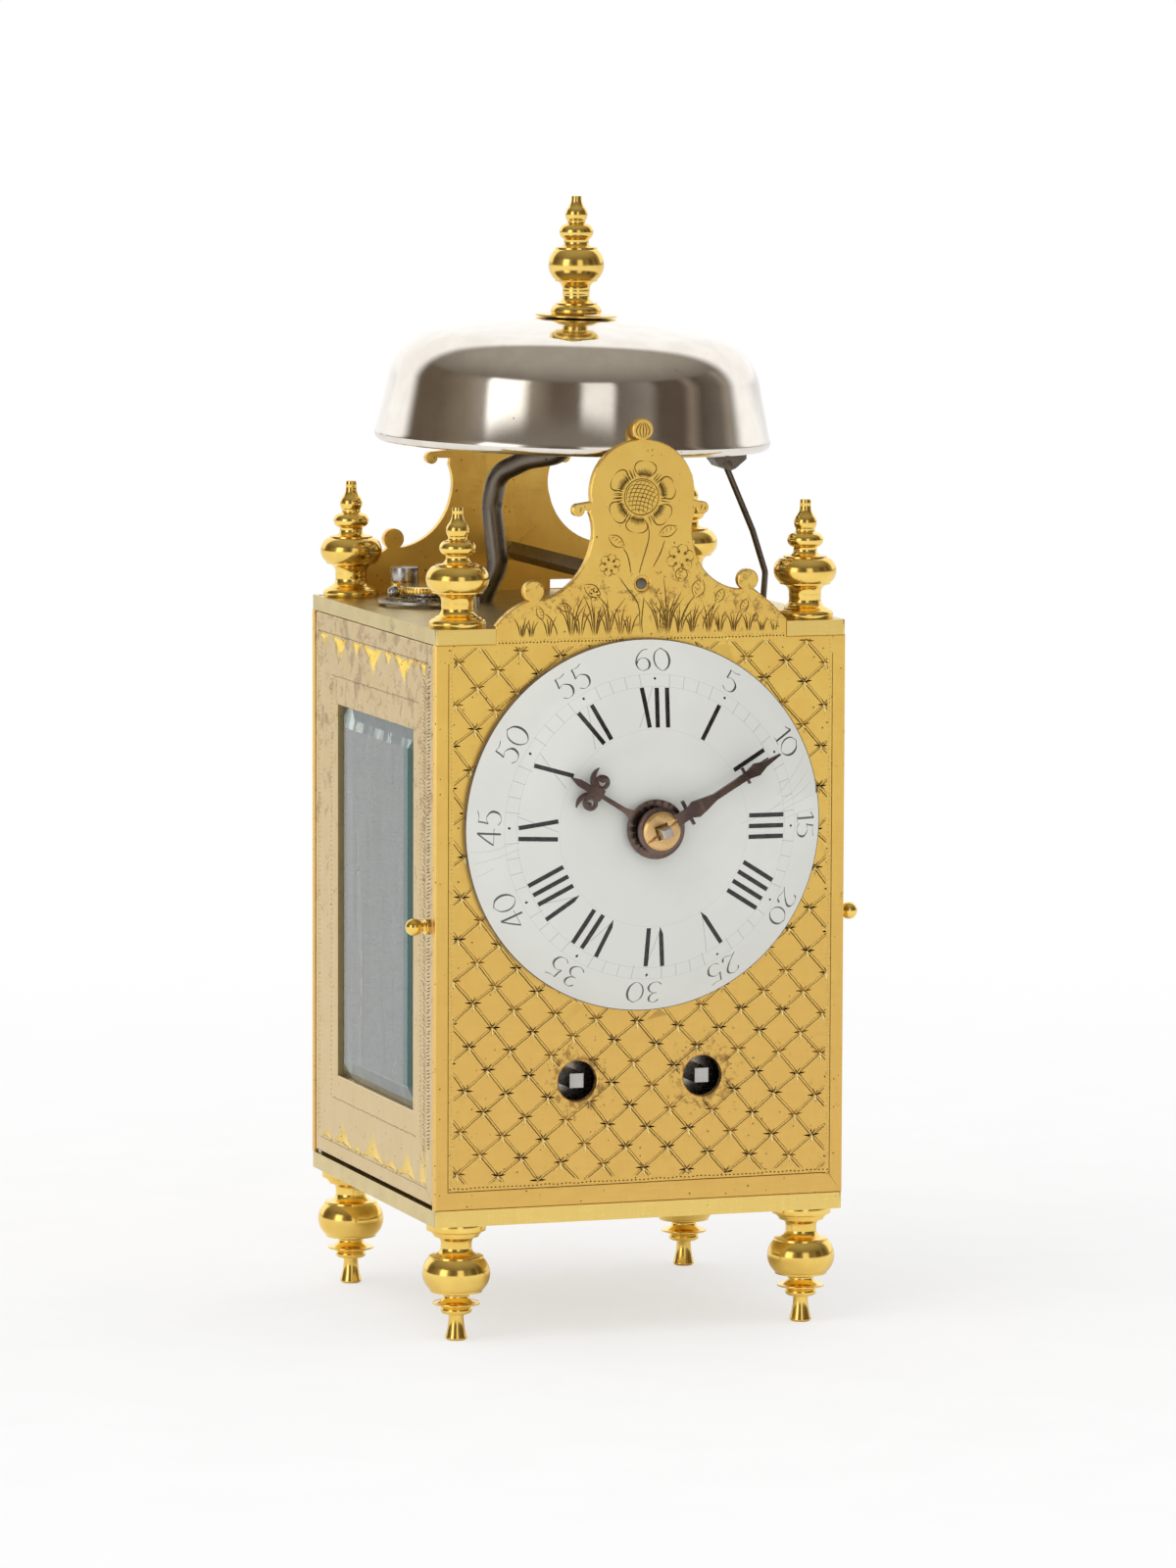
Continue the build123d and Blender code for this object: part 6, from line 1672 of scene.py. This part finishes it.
class MakeBell(bpy.types.Operator):
    """The polished bell and its washer."""

    bl_idname = "lantern_clock.bell"
    bl_label = "Bell"

    def execute(self, context):
        scene = context.scene
        segments = scene.lantern_clock_sizes.bell_segments
        r, d, w = BELL_RADIUS, -BELL_DEPTH, BELL_WALL
        ball = ((0.7 * r) ** 2 + 2.1**2) / (2 * 2.1)
        drop = ball - math.sqrt(ball**2 - (0.35 * r) ** 2)
        steps = (
            (0.35 * r, -drop, 0.7 * r, -2.1), (0.875 * r, -5.0, 0.935 * r, -8.5), (r - 0.1, d + 1.7),
            (r - 0.2, d + 0.35, r - 1.0, d), (r - 1.7, d), (r - 1.9, d + 0.5),
            (0.935 * r - w, -8.7), (0.875 * r - w, -5.7, 0.7 * r - 0.6, -2.1 - w),
            (0.35 * r, -drop - w, BELL_HOLE, -w), (BELL_HOLE, 0),
        )
        profile = eased_corners(profile_points((BELL_HOLE, 0), steps, 0.35), 0.12)
        points, triangles = lathe(profile, segments)
        leaning = tilted(points)
        pitted = np.zeros(len(points))
        for place, reach, amount in BELL_PITS:
            pitted += amount * np.exp(-(((leaning - np.array(place)) / reach) ** 2).sum(axis=1))
        mesh = mesh_from("bell_polished", leaning, outward(points, triangles), 30, None, {"stain": pitted})
        add_piece("bell_polished", mesh, ("bell",))
        ring = np.array([
            (BELL_HOLE, 0), (5.68, 0), (5.75, 0.07), (5.75, 0.22), (5.66, 0.3), (BELL_HOLE, 0.3),
            (BELL_HOLE, 0),
        ])
        points, triangles = lathe(ring, scene.lantern_clock_sizes.turned_segments)
        washer = mesh_from("bell_washer_turned", tilted(points), outward(points, triangles), 30)
        add_piece("bell_washer_turned", washer, ("bell_washer",))
        return {"FINISHED"}


def tilted(points):
    """Leans points with the bell, about the y direction through the top of the bell."""
    x, y, z = points.T
    turned_x = x * math.cos(BELL_TILT) + z * math.sin(BELL_TILT)
    turned_z = z * math.cos(BELL_TILT) - x * math.sin(BELL_TILT)
    return np.stack([turned_x, y + MIDDLE_SHIFT, turned_z + BELL_TOP], -1)


# each profile is a start and then steps, as radius and height, for profile_points
NECK = CASE_LOW - 1.9
FOOT = (
    (0.01, 0),
    (
        (1.25, 0), (1.56, 0.3), (1.12, 2.2, 1.04, 3.8), (1.3, 3.85), (2.17, 4.25, 1.9, 4.65),
        (3.3, 5.05), (3.3, 5.3), (2.1, 5.6, 1.78, 6.2), (1.78, 6.4), (2.5, 6.65, 3.64, 6.8),
        (3.64, 7.05), (4.74, 9.3, 3.8, 11.6), (3.8, 11.9), (3.3, 12.0), (2.35, 12.5, 2.18, 13.2),
        (2.18, NECK - 0.9), (2.5, NECK - 0.2, 3.16, NECK), (3.16, NECK + 0.35), (3.44, NECK + 0.4),
        (3.44, NECK + 0.65), (4.16, NECK + 0.9), (4.16, CASE_LOW), (0.01, CASE_LOW),
    ),
)
FINIAL = (
    (0.01, 0),
    (
        (3.9, 0), (3.95, 0.35), (3.85, 0.95, 3.4, 1.2), (3.12, 1.45), (2.4, 2.0, 2.26, 2.9),
        (2.26, 3.4), (2.6, 4.35, 3.57, 4.75), (3.57, 4.95), (4.4, 6.67, 3.5, 8.35), (3.04, 8.45),
        (3.04, 8.7), (1.9, 8.95, 1.64, 9.5), (1.64, 9.9), (2.53, 10.95, 1.5, 11.95), (1.34, 12.1),
        (1.34, 12.5), (1.6, 13.3, 1.25, 14.3), (0.88, 15.0, 0.78, 16.0), (0.74, 16.57),
        (0.6, 16.57), (0.45, 16.57), (0.3, 16.57), (0.15, 16.57), (0.01, 16.57),
    ),
)
BELL_FINIAL = (
    (0.01, 0),
    (
        (3.5, 0), (3.6, 0.3), (3.45, 0.9, 2.95, 1.3), (2.95, 1.55), (2.05, 2.0, 1.93, 2.9),
        (1.93, 3.3), (2.2, 4.2, 3.0, 4.6), (3.0, 4.8), (3.93, 6.8, 3.1, 9.0), (2.93, 9.1),
        (2.93, 9.4), (1.95, 9.6, 1.77, 10.2), (1.77, 10.5), (2.4, 11.6, 1.45, 12.7), (1.27, 12.8),
        (1.27, 13.1), (1.57, 14.0, 1.1, 15.1), (0.8, 15.8, 0.7, 16.6), (0.01, 16.6),
    ),
)


class TurnFeetAndFinials(bpy.types.Operator):
    """The four turned feet, the four corner finials and the bell's finial."""

    bl_idname = "lantern_clock.turned"
    bl_label = "Feet and finials"

    def execute(self, context):
        scene = context.scene
        segments = scene.lantern_clock_sizes.turned_segments
        corners = [(x, y) for x in (-CORNER_X, CORNER_X) for y in (-CORNER_Y, CORNER_Y)]
        self.repeat("feet_turned", FOOT, corners, 0, segments, "feet", 0)
        self.repeat("corner_finials_turned", FINIAL, corners, ROOF, segments, "corner_finials", 0.4)
        top = BELL_TOP + BELL_WASHER
        self.repeat("bell_finial_turned", BELL_FINIAL, [(0, 0)], top, segments, "bell_finial", 0)
        return {"FINISHED"}

    def repeat(self, name, profile, places, level, segments, node, slot_depth):
        """One turned shape stood at several places, with a saw cut across its tip if it has
        one: points of the top that lie near the cut's line sink by its depth."""
        points, triangles = lathe(eased_corners(profile_points(*profile)), segments)
        if slot_depth:
            top = points[:, 2] > points[:, 2].max() - 0.02
            points[top & (np.abs(points[:, 1]) < 0.14), 2] -= slot_depth
        triangles = outward(points, triangles)
        shift = [np.array([x, y + MIDDLE_SHIFT, level]) for x, y in places]
        whole = np.concatenate([points + move for move in shift])
        faces = np.concatenate([triangles + len(points) * k for k in range(len(places))])
        add_piece(name, mesh_from(name, whole, faces, 32), (node,))


STAND_FOOT = (-10.3, 11.0)
ROD_RADIUS = 1.5
ROD_SIDES = 40
STUD_REACH = 4.6


class ForgeStand(bpy.types.Operator):
    """The forged rod that carries the bell, a little uneven along its length."""

    bl_idname = "lantern_clock.stand"
    bl_label = "Bell stand"

    def execute(self, context):
        span = math.hypot(*STAND_FOOT)
        shoulder = BELL_LIP + BELL_DEPTH - BELL_WALL - 0.1
        # the rod's corners, as distance from its foot towards the bell's middle, and height
        route = np.array([
            (0, -3.3), (0, 0.4), (2.6, 5.2), (1.5, 13.6), (2.4, 18.4), (7.3, 20.6), (12.3, 21.5),
            (span, 25.0), (span, shoulder),
        ])
        path = rounded_route(route, (3.0, 4.0, 6.0, 3.6, 6.0, 3.2, 3.0), 0.3)
        along = -np.array(STAND_FOOT) / span
        lengths = np.r_[0, np.cumsum(np.linalg.norm(np.diff(path, axis=0), axis=1))]
        points, triangles = self.rod(path, lengths, along)
        low, top = ROOF + shoulder - 1, BELL_TOP + BELL_WASHER + STUD_REACH
        stud = np.array([(0.01, low), (1.1, low), (1.1, top - 0.15), (0.95, top), (0.01, top)])
        stud_points, stud_triangles = lathe(stud, 48)
        stud_points = stud_points + np.array([0, MIDDLE_SHIFT, 0])
        whole = np.concatenate([points, stud_points])
        stud_faces = outward(stud_points, stud_triangles) + len(points)
        faces = np.concatenate([outward(points, triangles), stud_faces])
        name = "bell_stand_forged"
        add_piece(name, mesh_from(name, whole, faces, 40), ("bell_stand",))
        return {"FINISHED"}

    def rod(self, path, lengths, along):
        """Rings about a flat route: the ring at length s is the route's point plus the radius
        times the cosine along the route's normal and the sine across the route's plane. The
        radius is even but for a slow wave and flats round it, as a hammer leaves them."""
        tangent = np.gradient(path, axis=0)
        tangent /= np.linalg.norm(tangent, axis=1, keepdims=True)
        angle = np.linspace(0, 2 * math.pi, ROD_SIDES, endpoint=False)
        wave = 1 - 0.012 * (1 + np.sin(lengths * 0.9 + 1.5 * np.sin(lengths * 0.31)))[:, None]
        flats = 1 - 0.016 * (1 + np.cos(4 * angle[None, :] + 0.35 * np.sin(lengths * 0.5)[:, None]))
        radius = ROD_RADIUS * wave * flats
        normal = np.stack([-tangent[:, 1], tangent[:, 0]], -1)
        s = path[:, :1] + radius * np.cos(angle) * normal[:, :1]
        height = path[:, 1:] + radius * np.cos(angle) * normal[:, 1:]
        aside = radius * np.sin(angle)
        across = np.array([-along[1], along[0]])
        x = STAND_FOOT[0] + s * along[0] + aside * across[0]
        y = STAND_FOOT[1] + s * along[1] + aside * across[1] + MIDDLE_SHIFT
        rings = np.stack([x, y, ROOF + height], -1)
        first, last = (
            np.repeat(end.mean(axis=1, keepdims=True), ROD_SIDES, axis=1) for end in (rings[:1], rings[-1:])
        )
        rings = np.concatenate([first, rings, last])
        return merged(rings.reshape(-1, 3), grid_triangles(len(rings), ROD_SIDES))


def rounded_route(route, radii, spacing):
    """A route of straight runs with each corner replaced by an arc of its radius, which
    touches both runs."""
    path = [route[:1]]
    for before, corner, after, radius in zip(route[:-2], route[1:-1], route[2:], radii):
        into = (before - corner) / np.linalg.norm(before - corner)
        out = (after - corner) / np.linalg.norm(after - corner)
        half = math.acos(float(np.clip(into @ out, -1, 1))) / 2
        reach = radius / math.tan(half)
        middle_way = (into + out) / np.linalg.norm(into + out)
        nearest = corner + middle_way * (radius / math.sin(half) - radius)
        arc = arc_through(corner + into * reach, nearest, corner + out * reach, spacing)
        path.append(arc)
    path.append(route[-1:])
    path = np.concatenate(path)
    lengths = np.r_[0, np.cumsum(np.linalg.norm(np.diff(path, axis=0), axis=1))]
    even = np.arange(0, lengths[-1], spacing)
    even = np.append(even, lengths[-1])
    return np.stack([np.interp(even, lengths, path[:, k]) for k in range(2)], -1)


# each piece whose edges are rubbed, and by how many millimetres
SOFT_EDGED = (
    ("top_plate", 0.16), ("base_plate", 0.16), ("back_plate", 0.14), ("balance_cock", 0.1),
    ("cock_screw", 0.12), ("letoff_arbor", 0.1), ("hammer_head", 0.12), ("regulator_index", 0.06),
    ("left_knob", 0.05), ("right_knob", 0.05),
)


class SoftenPlates(bpy.types.Operator):
    """The plates, the cock and the other outer pieces, with rubbed edges."""

    bl_idname = "lantern_clock.plates"
    bl_label = "Plates and outer pieces"

    def execute(self, context):
        for node, width in SOFT_EDGED:
            softened(f"{node}_finished", node, width)
        return {"FINISHED"}


class FinishWorks(bpy.types.Operator):
    """Gives every other piece of the movement, the hinges and the glass its finish."""

    bl_idname = "lantern_clock.works"
    bl_label = "Works and glass"

    def execute(self, context):
        for row in frame["record"]["subparts"]:
            piece = frame["nodes"][row["node"]]
            piece.data.materials.clear()
            piece.data.materials.append(finish(row["node"]))
        return {"FINISHED"}


STEPS = (
    MakeStage, EngraveFront, EngraveDoors, PaintDial, MakeHands, MakeBell, TurnFeetAndFinials, ForgeStand,
    SoftenPlates, FinishWorks,
)
GROUPS = {
    "lantern_clock_sizes": LanternClockSizes,
    "lantern_clock_colours": LanternClockColours,
    "lantern_clock_stage": LanternClockStage,
}


class LanternClockPanel(bpy.types.Panel):
    """Lists the sizes, the colours and the steps in the sidebar."""

    bl_idname = "VIEW3D_PT_lantern_clock"
    bl_label = "Lantern Clock"
    bl_space_type = "VIEW_3D"
    bl_region_type = "UI"
    bl_category = "Lantern Clock"

    def draw(self, context):
        """A box of values for each group, and a button for each step."""
        for title in GROUPS:
            box = self.layout.box()
            values = getattr(context.scene, title)
            for key in values.bl_rna.properties.keys():
                if key not in ("rna_type", "name"):
                    box.prop(values, key)
        for step in STEPS:
            self.layout.operator(step.bl_idname)


CLASSES = (*GROUPS.values(), *STEPS, LanternClockPanel)


def register():
    """Makes the groups, the steps and the panel known to Blender."""
    for kind in CLASSES:
        bpy.utils.register_class(kind)
    for title, group in GROUPS.items():
        setattr(bpy.types.Scene, title, PointerProperty(type=group))


def unregister():
    """Takes back what register did."""
    for title in GROUPS:
        delattr(bpy.types.Scene, title)
    for kind in reversed(CLASSES):
        bpy.utils.unregister_class(kind)


def main():
    """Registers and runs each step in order."""
    register()
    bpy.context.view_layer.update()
    for step in STEPS:
        getattr(bpy.ops.lantern_clock, step.bl_idname.split(".")[1])()


if __name__ == "__main__":
    main()
